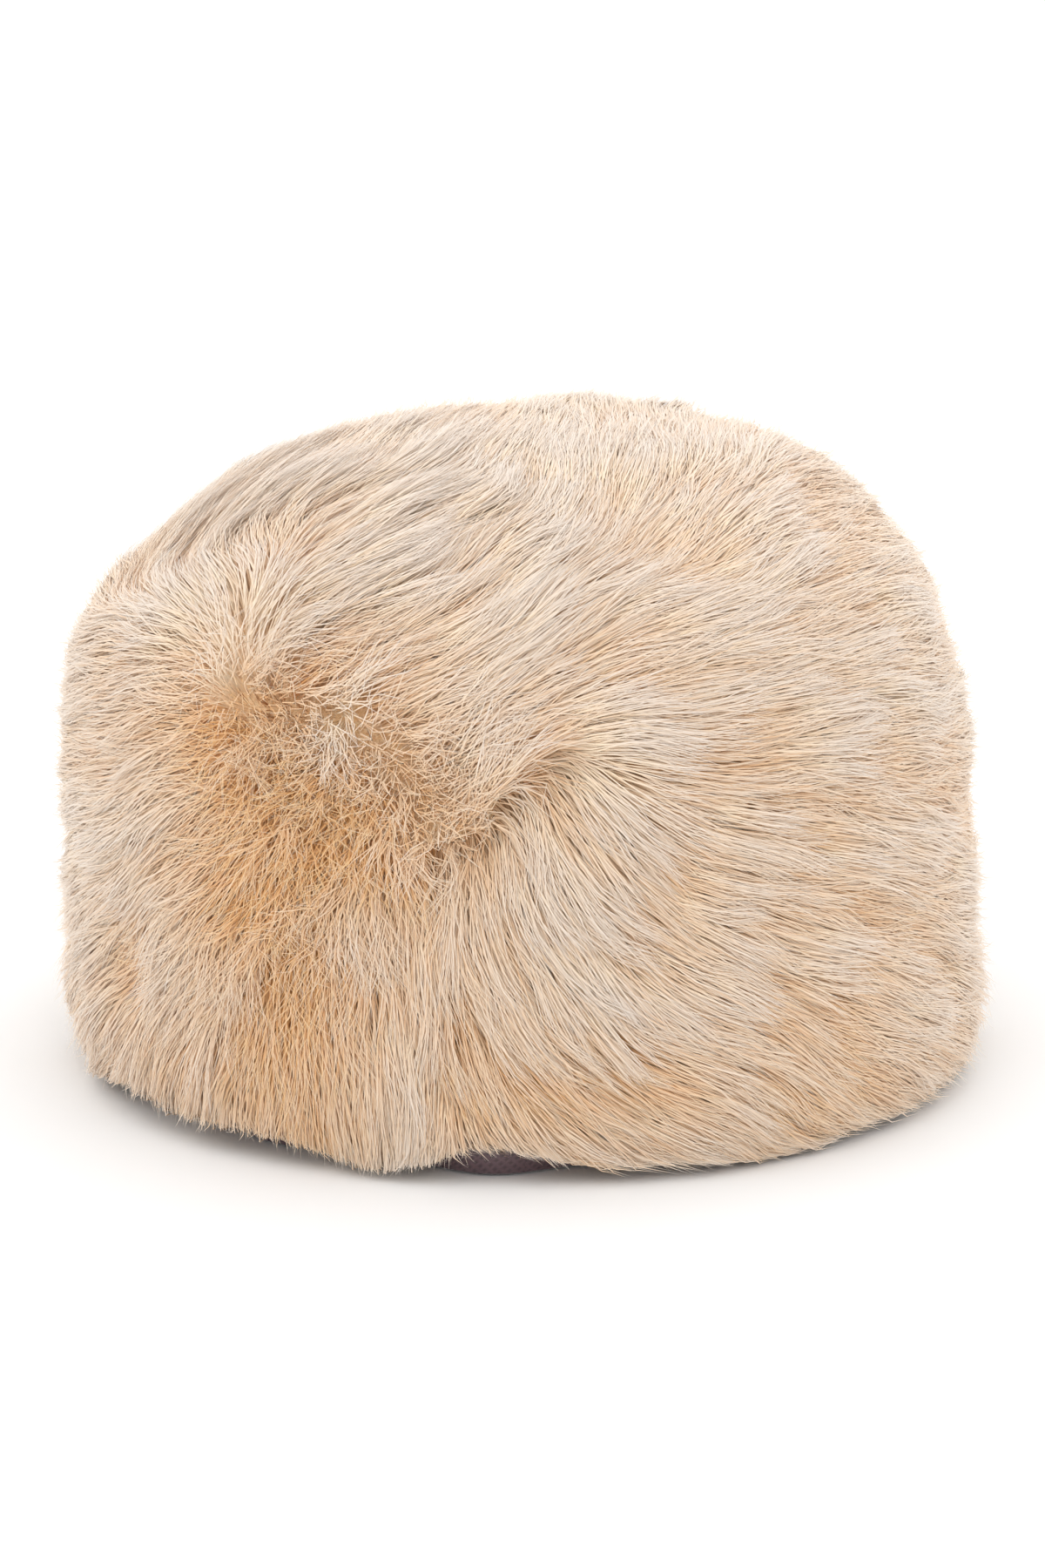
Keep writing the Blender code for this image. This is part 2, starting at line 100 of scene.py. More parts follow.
# Which way the fur lies: azimuth (0 is the front, 90 the wearer's left), height as a share, and
# heading (0 runs round towards higher azimuths, 90 runs up).
combing = (
    # left side, away from the parting and down to the hem
    (-64, 0.67, 197), (-59, 0.53, 201), (-59, 0.36, 209), (-60, 0.20, 222), (-50, 0.72, 190),
    (-43, 0.62, 204), (-42, 0.47, 220), (-43, 0.31, 248), (-43, 0.15, 254), (-28, 0.57, 242),
    (-28, 0.46, 249), (-29, 0.26, 261), (-29, 0.10, 264), (-18, 0.58, 252), (-18, 0.46, 268),
    (-18, 0.31, 280), (-19, 0.15, 288),
    # under the crease, straight down and then swept to the right
    (-10, 0.40, 266), (-11, 0.22, 267), (-11, 0.08, 270), (1, 0.57, 280), (5, 0.60, 292),
    (9, 0.58, 310), (-1, 0.48, 276), (-1, 0.32, 295), (-2, 0.15, 314), (5, 0.55, 294),
    (5, 0.38, 300), (4, 0.21, 310), (4, 0.08, 326), (12, 0.48, 318), (12, 0.35, 321),
    (12, 0.18, 332), (20, 0.52, 345), (20, 0.37, 329), (19, 0.21, 335), (19, 0.10, 330),
    # over the parting, up and to the right
    (-50, 0.80, 160), (-37, 0.80, 60), (-31, 0.77, 22), (-31, 0.87, 45), (-32, 0.94, 60),
    (-14, 0.79, 27), (-11, 0.68, 33), (-8, 0.88, 54), (-3, 0.73, 44), (-2, 0.63, 50),
    (1, 0.66, 44), (-4, 0.97, 86), (4, 0.79, 46), (5, 0.68, 20), (9, 0.66, 358),
    (15, 0.95, 65), (13, 0.83, 20), (13, 0.72, 11), (13, 0.62, 342),
    # right side, streaming back
    (26, 0.92, 32), (22, 0.81, 8), (21, 0.66, 1), (36, 0.81, 8), (33, 0.68, 358), (31, 0.51, 346),
    (30, 0.33, 340), (30, 0.16, 324), (47, 0.67, 352), (44, 0.48, 342), (43, 0.30, 337),
    (42, 0.12, 334), (61, 0.64, 351), (56, 0.44, 341), (54, 0.23, 337), (56, 0.84, 354),
    (80, 0.60, 347), (80, 0.25, 339),
    # far left, crown and back, where both sides meet and fall to the hem
    (-90, 0.60, 187), (-90, 0.25, 207), (-75, 0.86, 112), (-45, 0.98, 112), (26, 0.99, 60),
    (-115, 0.80, 155), (115, 0.78, 322), (160, 0.85, 282), (-155, 0.85, 246), (120, 0.35, 338),
    (160, 0.35, 310), (-160, 0.35, 237), (-125, 0.38, 205), (180, 0.60, 272),
)
combReach = 0.015  # how far one row of combing spreads
combFar = 0.004  # how much it still counts further off

# Knots where the fur parts and stands on end: azimuth, height, radius, how far it stands
partings = (
    (-35, 0.71, 0.013, 0.80), (-31, 0.63, 0.018, 0.65),
    (-24, 0.60, 0.018, 0.55), (-17, 0.57, 0.018, 0.55), (-8, 0.59, 0.015, 0.60),
    (-31, 0.36, 0.022, 0.50), (-48, 0.33, 0.011, 0.55), (-23, 0.45, 0.016, 0.35),
    (-20, 0.37, 0.014, 0.35),
)

# The crease, where the fur above folds over the fur below: azimuth, height
crease = {
    "line": (
        (-13, 0.460), (-10, 0.490), (-7, 0.520), (-3, 0.550), (-1, 0.590), (0.5, 0.620), (3, 0.640),
        (5.5, 0.642), (8, 0.632), (11, 0.610),
    ),
    "raised": 0.0040,  # how much the upper side stands up, and over what distance
    "raisedReach": 0.011,
    "sunk": 0.0048,
    "sunkReach": 0.010,
    "divided": 0.985,  # how little the combing of one side counts on the other
    "dividedReach": 0.022,
    "points": 80,
    "ends": 16,  # points at each end over which it fades out
}

# Where the fur is fuller or pressed in: azimuth, height, radius, change of its loft
swells = (
    (-17, 0.45, 0.018, -0.0025), (-7, 0.22, 0.008, -0.0030), (12, 0.90, 0.022, -0.0045),
    (-12, 0.34, 0.006, 0.0035), (-12.5, 0.22, 0.006, 0.0035), (-16, 0.27, 0.006, -0.0020),
    (-38, 0.77, 0.012, -0.0020), (12, 0.69, 0.014, 0.0020), (5, 0.52, 0.010, 0.0020),
)

# Where its colour runs to tan (less) or cream (more): azimuth, height, radius, change
tones = (
    (-34, 0.71, 0.010, -0.65), (-31, 0.63, 0.012, -0.55), (-38, 0.80, 0.014, 0.45),
    (-25, 0.59, 0.013, -0.50), (-17, 0.58, 0.013, -0.45), (-10, 0.57, 0.011, -0.45),
    (-45, 0.86, 0.020, 0.20), (-20, 0.50, 0.013, -0.40), (-13, 0.52, 0.008, -0.20),
    (-27, 0.46, 0.013, -0.30), (-34, 0.38, 0.013, -0.45), (-25, 0.37, 0.013, -0.45),
    (-19, 0.38, 0.010, -0.25), (-29, 0.27, 0.015, -0.25), (-21, 0.25, 0.012, -0.25),
    (-49, 0.34, 0.008, -0.45), (-8, 0.20, 0.007, -0.45), (-12, 0.38, 0.006, 0.30),
    (-12, 0.29, 0.006, 0.60), (-13, 0.20, 0.006, 0.60), (-13, 0.11, 0.006, 0.50),
    (-16, 0.31, 0.006, -0.35), (-17, 0.22, 0.006, -0.35), (-30, 0.42, 0.014, -0.25),
    (-22, 0.55, 0.017, -0.25), (-32, 0.67, 0.016, -0.20), (9, 0.90, 0.014, -0.30),
    # painted light: the spot at (-25, 0.90) pales the crown's upper left against the shade the fur
    # casts on itself there
    (2, 0.58, 0.008, -0.20), (3, 0.45, 0.020, 0.10), (-25, 0.90, 0.050, 0.28),
    (45, 0.75, 0.050, 0.08), (-70, 0.45, 0.040, 0.10), (10, 0.10, 0.050, -0.12),
    (-30, 0.10, 0.040, -0.12), (-18, 0.83, 0.008, -0.20), (22, 0.62, 0.010, -0.20),
    (30, 0.42, 0.012, -0.15), (16, 0.74, 0.012, 0.12),
)

# Where the hem is drawn up and the facing shows: azimuth, how wide in degrees, how far
lifts = ((-4, 8.0, 1.0), (-33, 9.0, 0.65), (-52, 10.0, 0.75), (15, 4.0, 0.35), (44, 8.0, 0.25))


def bell(gap, reach):
    return np.exp(-((gap / reach) ** 2))


def eased(share):
    return share * share * (3 - 2 * share)


def unit(vectors):
    return vectors / np.maximum(np.linalg.norm(vectors, axis=-1, keepdims=True), 1e-12)


def travelled(path):
    # how far along a path each of its points is
    return np.concatenate([[0], np.cumsum(np.linalg.norm(np.diff(path, axis=0), axis=1))])


def evenAzimuths(count):
    return np.linspace(0, 2 * math.pi, count, endpoint=False)


def lifted(azimuth):
    # 0 to 1 at azimuths in radians
    places, widths, amounts = np.array(lifts).T
    gaps = (np.degrees(azimuth)[..., None] - places + 180) % 360 - 180
    return (amounts * bell(gaps, widths)).sum(-1)


def smoothRow(rows, place):
    # the row at a fractional index, on a smooth curve through all of them
    rows = np.asarray(rows, float)
    last = len(rows) - 1
    low = np.clip(np.floor(place).astype(int), 0, last - 1)
    share = (place - low)[..., None]
    before, start, end, after = (rows[np.clip(low + i, 0, last)] for i in (-1, 0, 1, 2))
    slope = (end - before) / 2
    bend = before - 2.5 * start + 2 * end - after / 2
    twist = (after - before) / 2 + 1.5 * (start - end)
    return start + share * (slope + share * (bend + share * twist))


def ovalPoint(form, place, azimuth):
    place, azimuth = np.broadcast_arrays(np.asarray(place, float), azimuth)
    height, shift, width, depth = np.moveaxis(smoothRow(form["sections"], place), -1, 0)
    across, along = np.sin(azimuth), -np.cos(azimuth)
    power = form["squareness"]
    halfWidth = np.maximum(width * form["width"] / 2, 1e-6)
    halfDepth = np.maximum(depth * form["depth"] / 2, 1e-6)
    bulge = np.abs(across / halfWidth) ** power + np.abs(along / halfDepth) ** power
    radius = bulge ** (-1 / power)
    x = radius * across + shift * form["width"] + middle.x
    return np.stack([x, radius * along + middle.y, height * form["height"]], -1)


def formFrame(form, place, azimuth, step=0.02):
    # points of a form and its outward normals
    last = len(form["sections"]) - 1
    up = ovalPoint(form, np.minimum(place + step, last), azimuth) - ovalPoint(
        form, np.maximum(place - step, 0), azimuth
    )
    roundWay = ovalPoint(form, place, azimuth + step) - ovalPoint(form, place, azimuth - step)
    return ovalPoint(form, place, azimuth), unit(np.cross(roundWay, up))


def upTheSide(form, stop):
    # fractional sections up the side of a form, and how far up it each one is
    fine = np.linspace(0, stop, 600)
    return fine, travelled(ovalPoint(form, fine, math.pi / 2))


def placeOf(azimuth, share):
    # points and normals of the fur's form at azimuths in degrees and shares of its height
    fine = np.linspace(0, len(fur["sections"]) - 1, 1200)
    heights = smoothRow(fur["sections"], fine)[:, 0]
    return formFrame(fur, np.interp(share, heights, fine), np.radians(azimuth))


def nearness(points, spots):
    # how strongly each spot (azimuth, height, radius, ...) counts at each point
    table = np.asarray(spots, float)
    centres, _ = placeOf(table[:, 0], table[:, 1])
    squared = ((points[:, None] - centres[None]) ** 2).sum(-1)
    return np.exp(-squared / table[:, 2] ** 2)


def spread(points, spots):
    return nearness(points, spots) @ np.asarray(spots, float)[:, 3]


def creaseAt(points):
    # how far each point is from the crease, whether it lies above it, and how strong it is there
    line = np.asarray(crease["line"], float)
    fine = smoothRow(line, np.linspace(0, len(line) - 1, crease["points"]))
    centres, outward = placeOf(fine[:, 0], fine[:, 1])
    along = unit(np.gradient(centres, axis=0))
    above = np.cross(outward, along)
    gaps = points[:, None] - centres[None]
    squared = (gaps**2).sum(-1)
    nearest = squared.argmin(1)
    rows = np.arange(len(points))
    side = (gaps[rows, nearest] * above[nearest]).sum(-1) > 0
    ends = np.clip(np.minimum(nearest, len(fine) - 1 - nearest) / crease["ends"], 0, 1)
    return np.sqrt(squared[rows, nearest]), side, eased(ends)


def creaseStep(points):
    # the step in the pelt that makes the fold
    distance, side, strength = creaseAt(points)
    raised = crease["raised"] * bell(distance, crease["raisedReach"])
    sunk = crease["sunk"] * bell(distance, crease["sunkReach"])
    return np.where(side, raised, -sunk) * strength


def combAt(points, normals):
    # the way the fur lies, shorter than 1 where neighbouring rows disagree
    table = np.asarray(combing, float)
    centres, outward = placeOf(table[:, 0], table[:, 1])
    roundWay = unit(np.cross((0.0, 0.0, 1.0), outward))
    upWay = np.cross(outward, roundWay)
    heading = np.radians(table[:, 2])[:, None]
    ways = roundWay * np.cos(heading) + upWay * np.sin(heading)
    squared = ((points[:, None] - centres[None]) ** 2).sum(-1) / combReach**2
    weights = np.exp(-squared) + combFar / (1 + squared) ** 2
    distance, side, strength = creaseAt(points)
    divided = bell(distance, crease["dividedReach"]) * np.minimum(strength * 3, 1)
    across = side[:, None] != creaseAt(centres)[1][None]
    weights = weights * np.where(across, 1 - crease["divided"] * divided[:, None], 1)
    total = weights @ ways / weights.sum(1, keepdims=True)
    return total - normals * (total * normals).sum(-1, keepdims=True)


def newMesh(name, points, faces):
    mesh = bpy.data.meshes.new(name)
    mesh.from_pydata([tuple(p) for p in points], [], faces)
    mesh.update()
    return mesh


def addObject(name, data, material=None):
    made = bpy.data.objects.new(name, data)
    bpy.context.scene.collection.objects.link(made)
    if material:
        data.materials.clear()
        data.materials.append(material)
    return made


def evaluatedMesh(source):
    # the object with its modifiers, as a plain mesh
    bpy.context.view_layer.update()
    graph = bpy.context.evaluated_depsgraph_get()
    return bpy.data.meshes.new_from_object(source.evaluated_get(graph))


def gridFaces(rows, columns):
    # outward faces of a grid whose rows climb and whose columns run round
    faces = []
    for low in range(0, (rows - 1) * columns, columns):
        for column in range(columns):
            after, high = (column + 1) % columns, low + columns
            faces.append((low + column, low + after, high + after, high + column))
    return faces


def linear(hexColour):
    # an sRGB hex colour as the linear one that the shaders take
    values = [int(hexColour[i : i + 2], 16) / 255 for i in (1, 3, 5)]
    return (*(v / 12.92 if v <= 0.04045 else ((v + 0.055) / 1.055) ** 2.4 for v in values), 1.0)


# Node types that are used often, a setting of theirs, and short names for its values
frequentNodes = (
    ("ShaderNodeMath", "operation", {
        "multiply": "MULTIPLY", "multiplyAdd": "MULTIPLY_ADD", "add": "ADD",
        "subtract": "SUBTRACT", "cosine": "COSINE", "sine": "SINE", "smoothMax": "SMOOTH_MAX",
    }),
    ("ShaderNodeVectorMath", "operation", {
        "scaleVector": "SCALE", "addVectors": "ADD", "subtractVectors": "SUBTRACT",
        "project": "PROJECT", "cross": "CROSS_PRODUCT", "normalise": "NORMALIZE",
        "distance": "DISTANCE",
    }),
    # input 0 is the value, 1 and 2 the range it is from, 3 and 4 the one it is brought to
    ("ShaderNodeMapRange", "data_type", {"mapRange": "FLOAT"}),
    # inputs 2 and 3 are the ends, or 0 and 1 for a vector, and 8 is the seed
    ("FunctionNodeRandomValue", "data_type", {
        "randomNumber": "FLOAT", "randomVector": "FLOAT_VECTOR",
    }),
    ("GeometryNodeInputNamedAttribute", "data_type", {
        "readNumber": "FLOAT", "readIndex": "INT", "readVector": "FLOAT_VECTOR",
    }),
    # input 0 is the geometry, 2 the name, 3 the value
    ("GeometryNodeStoreNamedAttribute", "data_type", {
        "storeNumber": "FLOAT", "storeIndex": "INT", "storeVector": "FLOAT_VECTOR",
        "storeMap": "FLOAT2",
    }),
    # input 0 is the geometry, 1 the value, 2 the index
    ("GeometryNodeSampleIndex", "data_type", {
        "sampleNumber": "FLOAT", "sampleVector": "FLOAT_VECTOR",
    }),
    # input 0 is the mesh, 1 the value, 3 the place
    ("GeometryNodeSampleNearestSurface", "data_type", {"nearestVector": "FLOAT_VECTOR"}),
)
shortNames = {
    label: (kind, setting, value)
    for kind, setting, values in frequentNodes
    for label, value in values.items()
}


def addNode(tree, kind, inputs=(), **settings):
    # a node, by its type or a short name, with its settings; inputs, by place or name, are
    # values, sockets, or nodes whose first output is meant
    kind, *preset = shortNames.get(kind, (kind,))
    made = tree.nodes.new(kind)
    if preset:
        setattr(made, *preset)
    for name, value in settings.items():
        setattr(made, name, value)
    for key, value in inputs.items() if isinstance(inputs, dict) else enumerate(inputs):
        if isinstance(value, bpy.types.Node):
            value = value.outputs[0]
        if isinstance(value, bpy.types.NodeSocket):
            tree.links.new(value, made.inputs[key])
        else:
            made.inputs[key].default_value = value
    return made


def newMaterial(name, **settings):
    # a material with constant settings on its shader's own sockets
    material = bpy.data.materials.new(name)
    material.use_nodes = True
    shader = material.node_tree.nodes["Principled BSDF"]
    for label, value in settings.items():
        shader.inputs[label.replace("_", " ")].default_value = value
    return material, shader, partial(addNode, material.node_tree)


def plugIn(shader, **sources):
    # leads first outputs into the shader
    for label, node in sources.items():
        socket = shader.inputs[label.replace("_", " ")]
        shader.id_data.links.new(node.outputs[0], socket)


def fillRamp(node, *stops):
    ramp = node.color_ramp
    while len(ramp.elements) < len(stops):
        ramp.elements.new(1.0)
    for element, (place, colour) in zip(ramp.elements, stops):
        element.position = place
        element.color = linear(colour)
    return node


# Long pile fur: tan at the root and cream at the tip, dull, with a pale sheen seen edge on
def furMaterial():
    material, shader, node = newMaterial(
        "longPileFur", Roughness=0.62, IOR=1.55, Specular_IOR_Level=0.25, Sheen_Weight=0.28,
        Sheen_Roughness=0.6,
    )
    uv = node("ShaderNodeUVMap", uv_map="OFBake")
    toneAt, along = node("ShaderNodeSeparateXYZ", [uv]).outputs[:2]
    tan = fillRamp(
        node("ShaderNodeValToRGB", [along]),
        (0.0, "#DD9A50"), (0.50, "#E0A767"), (0.78, "#EBC592"), (1.0, "#F9EEDC"),
    )
    cream = fillRamp(
        node("ShaderNodeValToRGB", [along]),
        (0.0, "#F6DAB4"), (0.35, "#F1DCC0"), (0.66, "#EADBCB"), (1.0, "#E7DED6"),
    )
    blend = node("ShaderNodeMix", {0: toneAt, 6: tan, 7: cream}, data_type="RGBA")
    material.node_tree.links.new(blend.outputs[2], shader.inputs["Base Color"])
    return material


# The pelt under the hairs: a dense short wool, pale tan, in clumps about 1 mm across
def peltMaterial():
    material, shader, node = newMaterial("denseUnderwool", Roughness=0.9, IOR=1.5)
    place = node("ShaderNodeTexCoord").outputs["Object"]
    wool = node(
        "ShaderNodeTexNoise", {"Vector": place, "Scale": 900.0, "Detail": 4.0, "Roughness": 0.7}
    )
    colour = fillRamp(
        node("ShaderNodeValToRGB", [wool]), (0.30, "#EBBC84"), (0.55, "#F2CFA2"), (0.75, "#F8E2C4")
    )
    bump = node("ShaderNodeBump", {"Height": wool, "Distance": 0.0006, "Strength": 0.8})
    plugIn(shader, Base_Color=colour, Normal=bump)
    return material


seam = (  # the seam between crown and band: azimuth, height as a share
    (-180, 0.62), (-110, 0.58), (-70, 0.46), (-40, 0.38), (-18, 0.45), (4, 0.60), (30, 0.66),
    (100, 0.66), (180, 0.62),
)


def seamShare(azimuth):
    # the seam's height at azimuths in degrees, eased between its rows
    table = np.asarray(seam, float)
    azimuth = (np.asarray(azimuth) + 180) % 360 - 180
    row = np.clip(np.searchsorted(table[:, 0], azimuth, side="right") - 1, 0, len(table) - 2)
    share = (azimuth - table[row, 0]) / (table[row + 1, 0] - table[row, 0])
    return table[row, 1] + (table[row + 1, 1] - table[row, 1]) * eased(share)


facing = {
    "reach": 0.018,  # its width, out from the lining's inner face
    "liftReach": 0.0090,  # how much further it comes out where the hem is drawn up
    "liftHeight": 0.0085,
    "clear": 0.0080,  # how far off the floor the hair tips end there
    "pressed": 0.0010,  # below this height the cloth stays down when the hem is drawn up
    "fold": 0.0032,
    "puckers": 64,
    "pucker": 0.0002,
    "columns": 180,
    "profile": (  # share of the reach, height in metres
        (0.000, 0.0043), (0.004, 0.0022), (0.040, 0.0007), (0.110, 0.0002), (0.165, 0.0006),
        (0.220, 0.0001), (0.500, 0.0000), (0.780, 0.0001), (0.850, 0.0006), (0.910, 0.0003),
        (0.970, 0.0010), (1.000, 0.0024), (0.985, 0.0036), (0.930, 0.0042), (0.500, 0.0042),
    ),
}


def facingReach(lift):
    return facing["reach"] + facing["liftReach"] * lift


def facingRing(azimuth, offset, height):
    # a level ring at an offset from the rim of the head's hollow
    point, normal = formFrame(head, np.zeros_like(azimuth), azimuth)
    outward = unit(normal * (1, 1, 0))
    ring = point + outward * np.broadcast_to(offset, azimuth.shape)[:, None]
    ring[:, 2] = height
    return ring


def clothMaterial(name, hexColour, ribs):
    # dark polyester cloth with a soft sheen; ribs gives each way of its threads, as a turn and
    # the metres from one rib to the next, coarser than real threads so that they show
    material, shader, node = newMaterial(
        name, Roughness=0.46, IOR=1.5, Sheen_Weight=0.25, Sheen_Roughness=0.4
    )
    place = node("ShaderNodeUVMap", uv_map="clothMap")
    threads = []
    for turn, apart in ribs:
        turned = node("ShaderNodeMapping", {"Vector": place, "Rotation": (0, 0, turn)})
        scale = math.pi / 10 / apart  # at scale 1 a wave comes back each tenth of pi
        wave = {"Vector": turned, "Scale": scale, "Distortion": 0.4, "Detail": 1.0}
        threads.append(node("ShaderNodeTexWave", wave).outputs["Fac"])
    weave = node("ShaderNodeMath", threads, operation="MAXIMUM")
    # soft creases about 15 mm across
    cloud = node("ShaderNodeTexNoise", {"Vector": place, "Scale": 60.0, "Detail": 5.0})
    height = node("multiplyAdd", [cloud, 2.0, weave])
    bump = node("ShaderNodeBump", {"Height": height, "Distance": 0.00012, "Strength": 0.6})
    shade = node("multiplyAdd", [cloud, 0.35, weave])
    base = [int(hexColour[i : i + 2], 16) for i in (1, 3, 5)]
    dark, pale = ("#" + "".join(f"{min(int(v * k), 255):02X}" for v in base) for k in (0.86, 1.10))
    colour = fillRamp(node("ShaderNodeValToRGB", [shade]), (0.3, dark), (1.1, pale))
    plugIn(shader, Base_Color=colour, Normal=bump)
    return material


def clothGrid(name, grid, run, material, closed=False):
    # a grid of rows and columns that run round, with a map in metres
    rows, columns = grid.shape[:2]
    faces = gridFaces(rows, columns)
    if closed:
        last = (rows - 1) * columns
        for column in range(columns):
            after = (column + 1) % columns
            faces.append((last + column, last + after, after, column))
    mesh = newMesh(name, grid.reshape(-1, 3), faces)
    layer = mesh.uv_layers.new(name="clothMap")
    around = travelled(np.concatenate([grid[0], grid[0][:1]]))
    for polygon in mesh.polygons:
        places = [divmod(mesh.loops[i].vertex_index, columns) for i in polygon.loop_indices]
        crosses = max(column for _, column in places) - min(column for _, column in places) > 1
        for i, (row, column) in zip(polygon.loop_indices, places):
            column = columns if crosses and column == 0 else column
            layer.data[i].uv = (around[column], run[row])
    mesh.shade_smooth()
    return addObject(name, mesh, material)


def buildFacing(material):
    # a turned and pressed strip of cloth, slightly drawn in at each stitch
    azimuth = evenAzimuths(facing["columns"])
    lift = lifted(azimuth)
    reach = facingReach(lift)
    rings = []
    for share, height in facing["profile"]:
        risen = max(0.0, (height - facing["pressed"]) / facing["fold"]) * (share > 0.4)
        raised = facing["liftHeight"] * lift * risen
        pucker = facing["pucker"] * np.sin(azimuth * facing["puckers"]) * (0.1 < share < 0.9)
        rings.append(facingRing(azimuth, reach * share, height + raised + np.maximum(pucker, 0)))
    grid = np.array(rings)
    piece = clothGrid("rimFacing", grid, travelled(grid[:, 0]), material, closed=True)
    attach(piece, "root")
    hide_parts("rim_facing")


lining = {
    "columns": 128,
    "rows": 32,
    "thickness": 0.0010,
    "open": 1.06,  # sections at the top that are closed by a fan
    "panelSeam": 2.75,  # the section at which the oval top panel is sewn in
    "seamDip": 0.0010,
    "seamReach": 0.0011,
    "puff": 0.0007,
    "puffReach": 0.006,
    "puckers": 58,
    "pucker": 0.0005,
    "puckerReach": 0.010,
    "sag": 0.0009,
    "close": (-0.0026, -0.0016, -0.0008, 0.0, 0.0008, 0.0016, 0.0026),  # grid lines at a seam
    "stitchedAt": 0.0034,  # how far below the panel's seam its stitches run
}


def liningPoint(place, azimuth, run, seamRun):
    # a point of the lining's inner face, with its seams, puckers and soft waves
    point, normal = formFrame(head, place, azimuth)
    gap = run - seamRun
    fromBack = (azimuth % (2 * math.pi) - math.pi) * head["width"] / 2
    seamLine = bell(gap, lining["seamReach"])
    backLine = bell(fromBack, lining["seamReach"]) * (gap < 0)
    offset = lining["seamDip"] * np.maximum(seamLine, backLine)
    offset = offset - lining["puff"] * bell(gap, lining["puffReach"]) * (1 - seamLine)
    ripple = np.sin(azimuth * lining["puckers"] + 1.3 * np.sin(azimuth * 5))
    offset = offset + lining["pucker"] * ripple * np.exp(-np.abs(gap) / lining["puckerReach"])
    wave = np.sin(azimuth * 7 + run * 60) * np.sin(azimuth * 4 - run * 35)
    offset = offset - lining["sag"] * (0.5 + 0.5 * wave) * np.clip(run / 0.02, 0, 1)
    return point + normal * offset[..., None]


def buildLining(material):
    fine, height = upTheSide(head, len(head["sections"]) - lining["open"])
    seamRun = np.interp(lining["panelSeam"], fine, height)
    close = np.array(lining["close"])
    run = np.unique(np.concatenate([np.linspace(0, height[-1], lining["rows"]), seamRun + close]))
    places = np.interp(run, height, fine)
    backSeam = math.pi + close / (head["width"] / 2)
    azimuth = np.unique(np.concatenate([evenAzimuths(lining["columns"]), backSeam]))
    grid = liningPoint(places[:, None], azimuth[None], run[:, None], seamRun)
    grid[0, :, 2] = facingTop + clearance
    piece = clothGrid("satinLining", grid, run, material)
    mesh = piece.data
    closing = bmesh.new()
    closing.from_mesh(mesh)
    edge = [e for e in closing.edges if e.is_boundary and e.verts[0].co.z > head["height"] / 2]
    top = bmesh.ops.contextual_create(closing, geom=edge)["faces"]
    bmesh.ops.poke(closing, faces=top)
    closing.to_mesh(mesh)
    closing.free()
    mesh.flip_normals()  # its face side looks in at the head
    wall = piece.modifiers.new("wall", "SOLIDIFY")
    wall.thickness = lining["thickness"]
    wall.offset = -1.0
    mesh = evaluatedMesh(piece)
    piece.modifiers.clear()
    piece.data = mesh
    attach(piece, "root")
    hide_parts("lining")
    run = np.full(240, seamRun - lining["stitchedAt"])
    return liningPoint(np.interp(run, height, fine), evenAzimuths(len(run)), run, seamRun)


stitches = {
    # share is how far out on the facing they run
    "facing": {"Spacing": 0.0070, "Length": 0.0042, "Thickness": 0.00045, "share": 0.85},
    "rim": {"Spacing": 0.0036, "Length": 0.0024, "Thickness": 0.00035, "share": 0.165},
    "panel": {"Spacing": 0.0032, "Length": 0.0021, "Thickness": 0.00032},
}


def stitchTree():
    # short rounded stitches laid along a line
    tree, node, given, result = newTree(
        "stitchRow",
        [("Line", "Geometry"), ("Spacing", "Float"), ("Length", "Float"), ("Thickness", "Float"),
         ("Material", "Material")],
    )
    line = {"Curve": given["Line"], "Length": given["Spacing"]}
    beads = node("GeometryNodeResampleCurve", line, mode="LENGTH")
    bead = node("GeometryNodeMeshUVSphere", {"Segments": 6, "Rings": 4, "Radius": 0.5})
    size = node("ShaderNodeCombineXYZ", [given["Thickness"], given["Thickness"], given["Length"]])
    along = node("GeometryNodeInputTangent")
    turned = node("FunctionNodeAlignRotationToVector", {"Vector": along}, axis="Z")
    made = node(
        "GeometryNodeInstanceOnPoints",
        {"Points": beads, "Instance": bead, "Rotation": turned, "Scale": size},
    )
    made = node("GeometryNodeRealizeInstances", [made])
    made = node("GeometryNodeSetShadeSmooth", [made])
    made = node("GeometryNodeSetMaterial", {0: made, 2: given["Material"]})
    tree.links.new(made.outputs[0], result[0])
    return tree


def sewAlong(name, points, sizes, tree, material):
    curve = bpy.data.curves.new(name, "CURVE")
    curve.dimensions = "3D"
    line = curve.splines.new("POLY")
    line.points.add(len(points) - 1)
    line.points.foreach_set("co", np.ravel(np.c_[points, np.ones(len(points))]))
    line.use_cyclic_u = True
    mesh = treeMesh(addObject(name + "Line", curve), tree, {**sizes, "Material": material})
    piece = addObject(name, mesh)
    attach(piece, "root")


def buildCloth():
    satin = clothMaterial("wovenSatin", "#655055", ((0.0, 0.0012), (math.pi / 2, 0.0009)))
    twill = clothMaterial("pressedTwill", "#5A474C", ((math.pi / 4, 0.0012), (-math.pi / 4, 0.0017)))
    thread, _, _ = newMaterial("spunThread", Base_Color=linear("#4A3A3E"), Roughness=0.55)
    buildFacing(twill)
    seamPath = buildLining(satin)
    tree = stitchTree()
    azimuth = evenAzimuths(360)
    reach = facingReach(lifted(azimuth))
    for label in ("facing", "rim"):
        row = facingRing(azimuth, reach * stitches[label]["share"], 0.0006)
        sewAlong(f"{label}Stitches", row, stitches[label], tree, thread)
    sewAlong("panelStitches", seamPath, stitches["panel"], tree, thread)
    print("lining, facing and stitches sewn")


